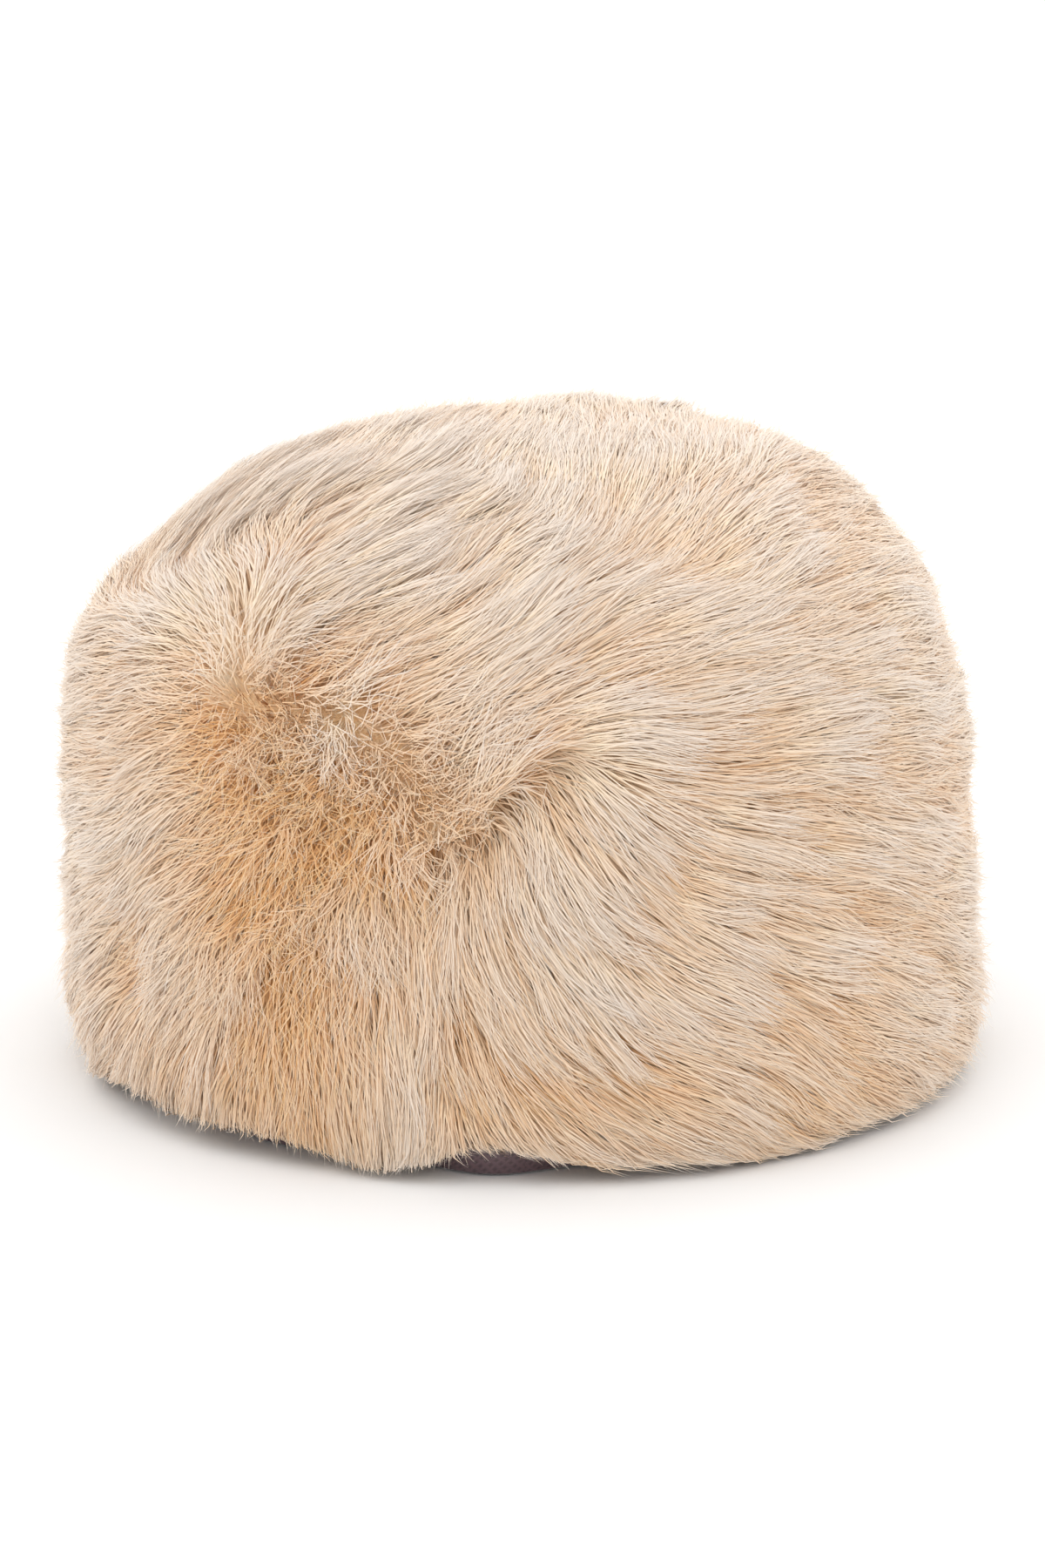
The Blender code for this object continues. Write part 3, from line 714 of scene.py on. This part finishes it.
pelt = {
    "open": 1.12,  # sections at the top that a fan closes
    "rimRows": 4,  # rows that are kept off the facing
    "overlap": 0.0012,  # how far the turned edge runs in over the facing
    "turned": (0.0, 0.35, 0.72),  # rows of the turned edge, from the inside out
    "dented": 0.5,  # how far it follows the places where the fur is pressed in
    "underPile": 0.009,  # on the turned edge
    "underLoft": 0.0025,
    "leastPile": 0.007,
    "tousled": 0.92,  # the most that the fur may stand on end
    "tone": 0.66,  # 0 is all tan, 1 all cream
    "paintedTopLight": 0.22,  # painted light: how much more cream the top is than the rim, as if lit from above
    "toneRange": (0.04, 0.96),
    "tipsClear": 0.0010,  # how far off the floor the hem's hairs end
}


def hemLoft(height):
    # how far up the hem each height is, from 0 to 1, and the fur's loft there
    share = np.clip(height / (fur["hem"] * fur["height"]), 0, 1)
    return share, fur["loft"] * (fur["hemLoft"] + (1 - fur["hemLoft"]) * eased(share))


def buildPelt():
    # the whole pelt: turned in under the rim, up the side and over the crown, as one grid
    columns, rows, rimRows = fur["columns"], fur["rows"], pelt["rimRows"]
    azimuth = evenAzimuths(columns)
    fine, run = upTheSide(fur, len(fur["sections"]) - pelt["open"])
    places = np.interp(np.linspace(0, run[-1], rows), run, fine)
    point, normal = formFrame(fur, places[:, None], azimuth[None])
    depth = hemLoft(point[..., 2])[1]
    flat = point.reshape(-1, 3)
    dents = np.minimum(spread(flat, swells), 0) * pelt["dented"] + creaseStep(flat)
    point = point - normal * (depth - dents.reshape(rows, columns))[..., None]
    lift = lifted(azimuth)
    rim = facingTop + clearance + facing["liftHeight"] * lift
    point[:rimRows, :, 2] = np.maximum(
        point[:rimRows, :, 2], rim + np.arange(rimRows)[:, None] * 0.001
    )
    inside = facingRing(azimuth, facingReach(lift) - pelt["overlap"], rim)
    turned = [inside + (point[0] - inside) * share for share in pelt["turned"]]
    top = point[-1].mean(0) + (0, 0, 0.0004)
    grid = np.concatenate([np.array(turned), point])
    points = np.concatenate([grid.reshape(-1, 3), top[None]])
    faces = gridFaces(len(grid), columns)
    last = (len(grid) - 1) * columns
    faces += [(last + i, last + (i + 1) % columns, len(points) - 1) for i in range(columns)]
    mesh = newMesh("pelt", points, faces)
    return mesh, len(turned) * columns, np.concatenate([normal.reshape(-1, 3), [(0.0, 0.0, 1.0)]])


def addAttribute(mesh, name, values, kind="FLOAT"):
    layer = mesh.attributes.new(name, kind, "POINT")
    layer.data.foreach_set("vector" if kind == "FLOAT_VECTOR" else "value", np.ravel(values))


def dressPelt(mesh, turnedCount, formNormals):
    # writes on the pelt what the hairs read: combing, length, loft, tone, how much they are tousled
    count = len(mesh.vertices)
    points, normals = np.empty(count * 3), np.empty(count * 3)
    mesh.vertices.foreach_get("co", points)
    mesh.vertices.foreach_get("normal", normals)
    points, normals = points.reshape(-1, 3), normals.reshape(-1, 3)
    normals[turnedCount:] = formNormals
    azimuth = np.arctan2(points[:, 0] - middle.x, -(points[:, 1] - middle.y))
    clear = pelt["tipsClear"] + facing["clear"] * lifted(azimuth)
    comb = combAt(points, normals)
    agree = np.clip(np.linalg.norm(comb, axis=1), 0, 1)
    stand = spread(points, partings) + np.clip(0.75 - agree, 0, 1)
    stand = np.clip(stand, 0, pelt["tousled"])
    under = np.arange(count) < turnedCount
    outward = unit((points - np.array(middle)) * (1, 1, 0))
    comb = unit(comb)
    comb[under] = unit(comb[under] * 0.5 + outward[under])
    comb -= normals * (comb * normals).sum(-1, keepdims=True)
    comb = unit(comb)
    height = points[:, 2]
    falling = np.maximum(-comb[:, 2], 0.04)
    length = fur["pile"] * (1 - 0.5 * stand)
    # a hair that falls ends at the hem
    length = np.minimum(length, np.maximum((height - clear + 0.002) / falling, pelt["leastPile"]))
    length[under] = pelt["underPile"]
    hem, loft = hemLoft(height)
    loft = loft + spread(points, swells) * np.where(hem > 0.9, 0.75, 0.3)
    loft[under] = pelt["underLoft"]
    # painted light: the colour runs paler towards the top, as if lit from above
    tone = pelt["tone"] + spread(points, tones) + pelt["paintedTopLight"] * (height / fur["height"] - 0.5)
    addAttribute(mesh, "comb", comb * (1 - 0.5 * stand)[:, None], "FLOAT_VECTOR")
    addAttribute(mesh, "outward", normals, "FLOAT_VECTOR")
    addAttribute(mesh, "pile", length)
    addAttribute(mesh, "loft", loft * (1 + 0.1 * stand))
    addAttribute(mesh, "tone", np.clip(tone, *pelt["toneRange"]))
    addAttribute(mesh, "stand", stand)
    addAttribute(mesh, "clear", clear)


def part(mesh, name, chosen):
    # the faces of the pelt that chosen keeps, with their attributes
    made = mesh.copy()
    made.name = name
    cut = bmesh.new()
    cut.from_mesh(made)
    gone = [face for face in cut.faces if not chosen(face.calc_center_median())]
    bmesh.ops.delete(cut, geom=gone, context="FACES")
    cut.to_mesh(made)
    cut.free()
    return made


def degrees(point):
    return math.degrees(math.atan2(point.x - middle.x, -(point.y - middle.y)))


def onCrown(point):
    return point.z > seamShare(degrees(point)) * fur["height"]


def newTree(name, inputs):
    # a Geometry Nodes tree with named inputs: the tree, its node maker, its entry and its exit
    tree = bpy.data.node_groups.new(name, "GeometryNodeTree")
    for label, kind in inputs:
        tree.interface.new_socket(label, in_out="INPUT", socket_type="NodeSocket" + kind)
    tree.interface.new_socket("Geometry", in_out="OUTPUT", socket_type="NodeSocketGeometry")
    node = partial(addNode, tree)
    return tree, node, node("NodeGroupInput").outputs, node("NodeGroupOutput").inputs


def treeMesh(base, tree, values):
    # what a tree makes of an object, as a plain mesh; inputs are set by each socket's identifier
    modifier = base.modifiers.new(tree.name, "NODES")
    modifier.node_group = tree
    for item in tree.interface.items_tree:
        if item.item_type == "SOCKET" and item.in_out == "INPUT" and item.name in values:
            modifier[item.identifier] = values[item.name]
    mesh = evaluatedMesh(base)
    bpy.data.objects.remove(base)
    return mesh


hair = {
    "steps": 3,  # straight stretches along one hair
    "rise": (0.0, 0.76, 0.93, 1.02),  # its height at each step, as shares of the loft
    "taper": (1.0, 1.0, 0.78, 0.0),  # its width there
    "sizes": {
        "Per Square Metre": 1160000.0,
        "Half Width": 0.00015,  # drawn wider than a real hair, so that it shows
        "Lock Spacing": 0.0145,
        "Wisp Spacing": 0.0060,
        "Frizz": 0.0007,
        "Tousle": 0.0030,  # the frizz that is added where the fur stands on end
    },
    "length": (0.80, 1.05),  # shares of the pile, by chance
    "wispLength": 0.20,  # how much longer or shorter whole wisps are
    "stray": 0.13,  # radians either way that one hair turns from the combing
    "wispStray": 0.24,  # and that a whole wisp or lock does
    "wild": 5.0,  # how many times more where the fur is tousled
    "turnAtRoot": 0.2,  # the share of that turn at the root, and what is added by the tip
    "turnAdded": 1.8,
    "lockPull": 0.30,  # how far its tip is drawn to its lock's middle
    "lockLengthwise": 0.2,  # how much of the pull also works along the hair
    "lockRise": 0.0017,  # how much higher or lower whole locks run
    "wispPull": 0.56,
    "wispLengthwise": 0.35,
    "wispRise": 0.0007,
    "crowned": (0.0006, -0.0007),  # how high hairs run in a wisp's middle and at its edge
    "crownedReach": 0.9,  # of the wisps' spacing
    "ownRise": (-0.0009, 0.0007),
    "wool": 0.25,  # the share of hairs that keep out of the wisps, and of those in between
    "woolEase": 0.25,
    "woolFollow": 0.1,  # how far the first still follow a wisp
    "woolSunk": 0.0010,
    "shortLoft": (0.002, 0.0060),  # between these lofts all this unevenness grows to its full size
    "shortRoom": 0.15,  # its share below them
    "loose": 0.80,  # the share of hairs that don't stand off
    "flyaway": 0.0042,  # how far the loosest tips stand off
    "fringe": (0.70, 0.35),  # how low the hem's hairs end, and how much that varies by wisp
    "hemEase": 0.0015,  # how gently their tips are held up
    "roll": 0.22,  # radians that a ribbon is turned about its own line
    "ownShade": 0.25,  # how far a hair's shading follows its own turn, beside the fur's
    "paintedShadeByRise": 80.0,  # painted shade: how much paler a hair is for each metre that it runs higher, so that the low hairs between wisps are painted tanner, as shade would make them
    "ownTone": 0.08,
    "wispTone": 0.10,
    "lockTone": 0.10,
    "paintedWispShade": (0.16, -0.20),  # painted light and shade: paler in a wisp's middle and tanner at its edge, where shade falls between wisps
    "paintedWispShadeReach": 0.8,
    "toneRange": (0.03, 0.97),  # within the map
    "seed": 7,
}


def atSteps(*labels):
    # the names of what is kept at each step, such as foot0, foot1, ...
    return [f"{label}{step}" for label in labels for step in range(hair["steps"] + 1)]


def walkTree(steps):
    # from each root, step by step along the combing over the pelt; keeps foot0, foot1, ... and
    # the pelt's outward way at each as away0, away1, ...
    tree, node, given, result = newTree(
        "walkAlongCombing", [("Roots", "Geometry"), ("Pelt", "Geometry"), ("Stray", "Float")]
    )
    read = {name: node("readNumber", [name]) for name in ("stand", "turn", "pile")}
    for name in ("comb", "outward", *atSteps("foot", "away")):
        read[name] = node("readVector", [name])
    least = node("multiply", [given["Stray"], -1.0])
    turn = node("randomNumber", {2: least, 3: given["Stray"], 8: 5}).outputs[1]
    wilder = node("multiplyAdd", [read["stand"], hair["wild"], 1.0])
    turn = node("multiply", [turn, wilder])
    walk = node("storeNumber", {0: given["Roots"], 2: "turn", 3: turn})
    place = node("GeometryNodeInputPosition")
    stride = node("multiply", [read["pile"], 1 / steps])
    for step in range(steps + 1):
        if step:
            foot, axis = read[f"foot{step - 1}"], read[f"away{step - 1}"]
            share = hair["turnAtRoot"] + hair["turnAdded"] * step / steps
            bend = node("multiply", [read["turn"], share])
            way = node("nearestVector", {0: given["Pelt"], 1: read["comb"], 3: foot})
            way = node("ShaderNodeVectorRotate", {"Vector": way, "Axis": axis, "Angle": bend})
            move = node("scaleVector", {0: way, "Scale": stride})
            ahead = node("addVectors", [foot, move])
            place = node(
                "GeometryNodeProximity", {0: given["Pelt"], 2: ahead}, target_element="FACES"
            )
        walk = node("storeVector", {0: walk, 2: f"foot{step}", 3: place})
        away = node("nearestVector", {0: given["Pelt"], 1: read["outward"], 3: read[f"foot{step}"]})
        walk = node("storeVector", {0: walk, 2: f"away{step}", 3: away})
    tree.links.new(walk.outputs[0], result[0])
    return tree


def guides(node, walk, pelt, spacing, seed):
    # evenly strewn middles of locks, each walked along the combing, with a chance of its own
    strewn = node(
        "GeometryNodeDistributePointsOnFaces",
        {"Mesh": pelt, "Distance Min": spacing, "Density Max": 4.0e5, "Seed": seed},
        distribute_method="POISSON",
    )
    walked = node("GeometryNodeGroup", {0: strewn, 1: pelt, 2: hair["wispStray"]}, node_tree=walk)
    chance = node("randomNumber", {2: -1.0, 3: 1.0, 8: seed}).outputs[1]
    return node("storeNumber", {0: walked, 2: "chance", 3: chance})


def gather(node, read, strands, guide, label):
    # draws each strand's feet towards its nearest guide, more so towards the tip
    steps, pull, lengthwise = hair["steps"], hair[label + "Pull"], hair[label + "Lengthwise"]
    nearest = node("GeometryNodeSampleNearest", [guide, node("GeometryNodeInputPosition")])
    chance = node("sampleNumber", {0: guide, 1: read["chance"], 2: nearest})
    centre = node("sampleVector", {0: guide, 1: read["foot0"], 2: nearest})
    strands = node("storeIndex", {0: strands, 2: label + "Index", 3: nearest})
    strands = node("storeNumber", {0: strands, 2: label + "Chance", 3: chance})
    strands = node("storeVector", {0: strands, 2: label + "Middle", 3: centre})
    known = node("readIndex", [label + "Index"])
    for step in range(1, steps + 1):
        foot, before = read[f"foot{step}"], read[f"foot{step - 1}"]
        goal = node("sampleVector", {0: guide, 1: foot, 2: known})
        gap = node("subtractVectors", [goal, foot])
        run = node("subtractVectors", [foot, before])
        ahead = node("project", [gap, run])
        kept = node("scaleVector", {0: ahead, "Scale": 1 - lengthwise})
        across = node("subtractVectors", [gap, kept])
        amount = node("multiply", [read["follow"], pull * (step / steps) ** 1.1])
        moved = node("scaleVector", {0: across, "Scale": amount})
        place = node("addVectors", [foot, moved])
        strands = node("storeVector", {0: strands, 2: f"foot{step}", 3: place})
    return strands


def growStrands(node, read, given):
    # strands along the combing from chance roots, gathered into locks and wisps
    pelt = node("GeometryNodeObjectInfo", [given["Pelt"]]).outputs["Geometry"]
    walk = walkTree(hair["steps"])
    locks = guides(node, walk, pelt, given["Lock Spacing"], 3)
    wisps = guides(node, walk, pelt, given["Wisp Spacing"], 4)
    roots = node(
        "GeometryNodeDistributePointsOnFaces",
        {"Mesh": given["Geometry"], "Density": given["Per Square Metre"], "Seed": given["Seed"]},
    )
    short, long = hair["length"]
    vary = node("randomNumber", {2: short, 3: long, 8: 11}).outputs[1]
    nearest = node("GeometryNodeSampleNearest", [wisps, node("GeometryNodeInputPosition")])
    chance = node("sampleNumber", {0: wisps, 1: read["chance"], 2: nearest})
    vary = node("multiplyAdd", [chance, hair["wispLength"], vary])
    length = node("multiply", [read["pile"], vary])
    roots = node("storeNumber", {0: roots, 2: "pile", 3: length})
    walked = node("GeometryNodeGroup", {0: roots, 1: pelt, 2: hair["stray"]}, node_tree=walk)
    # some hairs keep out of the wisps: they are the lower wool that fills between them, made tanner
    # by the painted shade on low hairs
    follow = node("randomNumber", {2: 0.0, 3: 1.0, 8: 17}).outputs[1]
    bounds = {1: hair["wool"], 2: hair["wool"] + hair["woolEase"], 3: hair["woolFollow"], 4: 1.0}
    follow = node("mapRange", {0: follow, **bounds})
    strands = node("storeNumber", {0: walked, 2: "follow", 3: follow})
    strands = gather(node, read, strands, locks, "lock")
    return gather(node, read, strands, wisps, "wisp")


def riseOf(node, read, middleGap, room):
    # how high a hair runs: its lock, its wisp, how near it is to the wisp's middle, and itself
    reach = hair["sizes"]["Wisp Spacing"] * hair["crownedReach"]
    high, low = hair["crowned"]
    crowned = node("mapRange", {0: middleGap, 1: 0.0, 2: reach, 3: high, 4: low})
    least, most = hair["ownRise"]
    rise = node("randomNumber", {2: least, 3: most, 8: 12}).outputs[1]
    for label in ("lock", "wisp"):
        rise = node("multiplyAdd", [read[label + "Chance"], hair[label + "Rise"], rise])
    rise = node("add", [rise, crowned])
    apart = node("subtract", [1.0, read["follow"]])
    rise = node("multiplyAdd", [apart, -hair["woolSunk"], rise])
    return node("multiply", [rise, room])


def raiseStrands(node, read, given, strands, rise, room):
    # lifts the feet off the pelt, with frizz, loose tips and an even hem; keeps place0, place1, ...
    steps = hair["steps"]
    wander = node("multiplyAdd", [read["stand"], given["Tousle"], given["Frizz"]])
    loose = node("randomNumber", {2: 0.0, 3: 1.0, 8: 15}).outputs[1]
    loose = node("mapRange", {0: loose, 1: hair["loose"], 2: 1.0, 3: 0.0, 4: hair["flyaway"]})
    loose = node("multiply", [loose, room])
    full = node("add", [read["loft"], rise])
    low, uneven = hair["fringe"]
    fringe = node("multiplyAdd", [read["wispChance"], uneven, low])
    fringe = node("multiply", [read["clear"], fringe])
    for step in range(steps + 1):
        height = node("multiply", [full, hair["rise"][step]])
        height = node("multiplyAdd", [loose, (step / steps) ** 2, height])
        lift = node("scaleVector", {0: read[f"away{step}"], "Scale": height})
        place = node("addVectors", [read[f"foot{step}"], lift])
        stray = node("randomVector", {0: (-1.0,) * 3, 1: (1.0,) * 3, 8: 20 + step})
        sway = node("multiply", [wander, min(step, 3) / 3])
        stray = node("scaleVector", {0: stray, "Scale": sway})
        place = node("addVectors", [place, stray])
        axes = node("ShaderNodeSeparateXYZ", [place]).outputs
        above = node("smoothMax", [axes[2], fringe, hair["hemEase"]])
        place = node("ShaderNodeCombineXYZ", [axes[0], axes[1], above])
        strands = node("storeVector", {0: strands, 2: f"place{step}", 3: place})
    return strands


def turnRibbons(node, read, given, strands):
    # which way each ribbon's edge points at each step, and which way it is lit: side0, faced0, ...
    def squareTo(first, second):
        return node("normalise", [node("cross", [first, second])])

    steps = hair["steps"]
    roll = node("randomNumber", {2: -hair["roll"], 3: hair["roll"], 8: 13}).outputs[1]
    flat = node("cosine", [roll])
    edge = node("sine", [roll])
    for step in range(steps + 1):
        ahead, behind = read[f"place{min(step + 1, steps)}"], read[f"place{max(step - 1, 0)}"]
        away = read[f"away{step}"]
        run = node("subtractVectors", [ahead, behind])
        across = squareTo(run, away)
        upright = squareTo(run, across)
        across = node("scaleVector", {0: across, "Scale": flat})
        upright = node("scaleVector", {0: upright, "Scale": edge})
        side = node("addVectors", [across, upright])
        own = node("scaleVector", {0: squareTo(side, run), "Scale": hair["ownShade"]})
        faced = node("addVectors", [own, away])
        width = node("multiply", [given["Half Width"], hair["taper"][step]])
        side = node("scaleVector", {0: side, "Scale": width})
        for label, value in (("faced", faced), ("side", side)):
            strands = node("storeVector", {0: strands, 2: f"{label}{step}", 3: value})
    return strands


def toneOf(node, read, middleGap, rise):
    # how tan or cream a hair is, by chance and by its wisp and lock, with painted light and shade:
    # paler where it runs high and in a wisp's middle, tanner where it runs low and at a wisp's edge
    tone = node("randomNumber", {2: -hair["ownTone"], 3: hair["ownTone"], 8: 14}).outputs[1]
    # painted shade: lower hairs are tanner, higher ones paler
    tone = node("multiplyAdd", [rise, hair["paintedShadeByRise"], tone])
    reach = hair["sizes"]["Wisp Spacing"] * hair["paintedWispShadeReach"]
    pale, dark = hair["paintedWispShade"]
    # painted shade: tanner towards a wisp's edge, paler in its middle
    edge = node("mapRange", {0: middleGap, 1: 0.0, 2: reach, 3: pale, 4: dark})
    tone = node("add", [tone, edge])
    for label in ("wisp", "lock"):
        tone = node("multiplyAdd", [read[label + "Chance"], hair[label + "Tone"], tone])
    tone = node("add", [tone, read["tone"]])
    least, most = hair["toneRange"]
    return node("mapRange", {0: tone, 1: 0.0, 2: 1.0, 3: least, 4: most})


def furTree():
    # hairs on the faces of one part of the pelt, as flat tapered ribbons
    steps = hair["steps"]
    tree, node, given, result = newTree(
        "longPile",
        [("Geometry", "Geometry"), ("Pelt", "Object"), ("Ribbon", "Object"),
         ("Material", "Material"), *((label, "Float") for label in hair["sizes"]), ("Seed", "Int")],
    )
    numbers = ("chance", "pile", "follow", "stand", "loft", "clear", "tone", "edge", "lockChance",
               "wispChance")
    read = {name: node("readNumber", [name]) for name in numbers}
    for name in ("wispMiddle", *atSteps("foot", "away", "place", "side", "faced")):
        read[name] = node("readVector", [name])
    strands = growStrands(node, read, given)
    middleGap = node("distance", [read["wispMiddle"], read["foot0"]]).outputs["Value"]
    low, high = hair["shortLoft"]
    room = node("mapRange", {0: read["loft"], 1: low, 2: high, 3: hair["shortRoom"], 4: 1.0})
    rise = riseOf(node, read, middleGap, room)
    strands = raiseStrands(node, read, given, strands, rise, room)
    strands = turnRibbons(node, read, given, strands)
    tone = toneOf(node, read, middleGap, rise)
    strands = node("storeNumber", {0: strands, 2: "tone", 3: tone})

    ribbon = node("GeometryNodeObjectInfo", [given["Ribbon"]]).outputs["Geometry"]
    made = node("GeometryNodeInstanceOnPoints", {"Points": strands, "Instance": ribbon})
    made = node("GeometryNodeRealizeInstances", [made])
    row = node("readIndex", ["row"])
    picks = {}
    for label in ("place", "side", "faced"):
        pick = node("GeometryNodeIndexSwitch", [row], data_type="VECTOR")
        while len(pick.index_switch_items) < steps + 1:
            pick.index_switch_items.new()
        for step in range(steps + 1):
            tree.links.new(read[f"{label}{step}"].outputs[0], pick.inputs[step + 1])
        picks[label] = pick
    offset = node("scaleVector", {0: picks["side"], "Scale": read["edge"]})
    place = node("addVectors", [picks["place"], offset])
    made = node("GeometryNodeSetPosition", {0: made, 2: place})
    # the hair's map: its tone across, and how far along it is
    u = node("multiplyAdd", [read["edge"], 0.004, read["tone"]])
    v = node("multiplyAdd", [row, 0.96 / steps, 0.02])
    uv = node("ShaderNodeCombineXYZ", [u, v])
    made = node("storeMap", {0: made, 2: "OFBake", 3: uv}, domain="CORNER")
    made = node("GeometryNodeSetShadeSmooth", [made])
    made = node(
        "GeometryNodeSetMeshNormal", {"Mesh": made, "Custom Normal": picks["faced"]}, mode="FREE",
        domain="POINT",
    )
    made = node("GeometryNodeSetMaterial", {0: made, 2: given["Material"]})
    tree.links.new(made.outputs[0], result[0])
    return tree


def ribbonObject(steps):
    # one flat hair, whose points know their step and their edge
    points = [(side * 0.001, step * 0.01, 0) for step in range(steps) for side in (-1, 1)]
    points.append((0, steps * 0.01, 0))
    faces = [(2 * i, 2 * i + 1, 2 * i + 3, 2 * i + 2) for i in range(steps - 1)]
    faces.append((2 * steps - 2, 2 * steps - 1, 2 * steps))
    mesh = newMesh("ribbon", points, faces)
    addAttribute(mesh, "row", [i // 2 for i in range(len(points))], "INT")
    addAttribute(mesh, "edge", [-1.0, 1.0] * steps + [0.0])
    return addObject("ribbon", mesh)


def growFur(wholePelt, pieces, material):
    tree = furTree()
    ribbon = ribbonObject(hair["steps"])
    values = {"Pelt": wholePelt, "Ribbon": ribbon, "Material": material, "Seed": hair["seed"]}
    kept = ("position", "material_index", "sharp_face", "OFBake", "custom_normal")
    made = []
    for name, roots, node in pieces:
        mesh = treeMesh(addObject(name + "Roots", roots), tree, {**hair["sizes"], **values})
        for attribute in [a.name for a in mesh.attributes if not a.name.startswith(".")]:
            if attribute not in kept:
                mesh.attributes.remove(mesh.attributes[attribute])
        print(f"{name}: {sum(len(p.vertices) - 2 for p in mesh.polygons)} triangles")
        made.append((addObject(name, mesh), node))
    bpy.data.objects.remove(ribbon)
    return made


def buildFur():
    peltMesh, turnedCount, formNormals = buildPelt()
    dressPelt(peltMesh, turnedCount, formNormals)
    wholePelt = addObject("wholePelt", peltMesh)
    wholePelt.hide_render = True
    quarters = (
        ("Front", lambda a: abs(a) <= 35),
        ("Left", lambda a: -125 <= a < -35),
        ("Right", lambda a: 35 < a <= 125),
        ("Back", lambda a: abs(a) > 125),
    )
    sides = (("crown", "fur_crown", True), ("band", "fur_side_band", False))
    pieces = []
    for label, inside in quarters:
        for side, node, above in sides:
            chosen = lambda p: onCrown(p) == above and inside(degrees(p))
            pieces.append((f"{side}Hair{label}", part(peltMesh, f"{side}{label}", chosen), node))
    made = growFur(wholePelt, pieces, furMaterial())
    ground = peltMaterial()
    for side, node, above in sides:
        mesh = part(peltMesh, f"{side}Pelt", lambda p: onCrown(p) == above)
        for attribute in ("comb", "outward", "pile", "loft", "tone", "stand", "clear"):
            mesh.attributes.remove(mesh.attributes[attribute])
        mesh.shade_smooth()
        made.append((addObject(f"{side}Pelt", mesh, ground), node))
    bpy.data.objects.remove(wholePelt)
    for piece, node in made:
        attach(piece, "root")
        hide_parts(node)
    print("fur grown:", len(made), "pieces")


stage = {
    "floor": 6.0,
    "surround": 1.2,  # how strongly the white surround lights the hat
    "aim": (0, 0, 0.08),
    "softboxes": {  # place, size, power
        "softboxTop": ((-0.4, -0.6, 1.7), 1.6, 5.0),
        "softboxBack": ((0.5, 1.2, 1.2), 1.6, 4.0),
    },
}


def buildStage():
    size = stage["floor"]
    corners = [(-size, -size, 0), (size, -size, 0), (size, size, 0), (-size, size, 0)]
    paper, _, _ = newMaterial("matPaper", Base_Color=linear("#F4F4F4"), Roughness=0.9)
    floor = addObject("floor", newMesh("floor", corners, [(0, 1, 2, 3)]), paper)
    world = bpy.data.worlds.new("softWhite")
    world.use_nodes = True
    surround = world.node_tree.nodes["Background"].inputs
    surround[0].default_value = (1, 1, 1, 1)
    surround[1].default_value = stage["surround"]
    bpy.context.scene.world = world
    for name, (place, across, power) in stage["softboxes"].items():
        light = bpy.data.lights.new(name, "AREA")
        light.size = across
        light.energy = power
        lamp = addObject(name, light)
        lamp.location = place
        ray = Vector(stage["aim"]) - Vector(place)
        lamp.rotation_euler = ray.to_track_quat("-Z", "Y").to_euler()
    bpy.context.scene.view_settings.view_transform = "Standard"


view = {
    "distance": 1.7,
    "elevation": 14.5,  # degrees above the floor
    "aim": (0.0, 0.0, 0.0725),
    "viewHeight": 0.42857,  # what the picture's height takes in, at that distance
}


def buildCamera():
    data = bpy.data.cameras.new("camera")
    data.sensor_width = 36.0
    data.lens = data.sensor_width * view["distance"] / view["viewHeight"]
    camera = addObject("camera", data)
    rise = math.radians(view["elevation"])
    back = Vector((0, -math.cos(rise), math.sin(rise)))
    camera.location = Vector(view["aim"]) + back * view["distance"]
    camera.rotation_euler = (-back).to_track_quat("-Z", "Y").to_euler()
    bpy.context.scene.camera = camera


buildFur()
buildCloth()
buildStage()
buildCamera()
print("done")
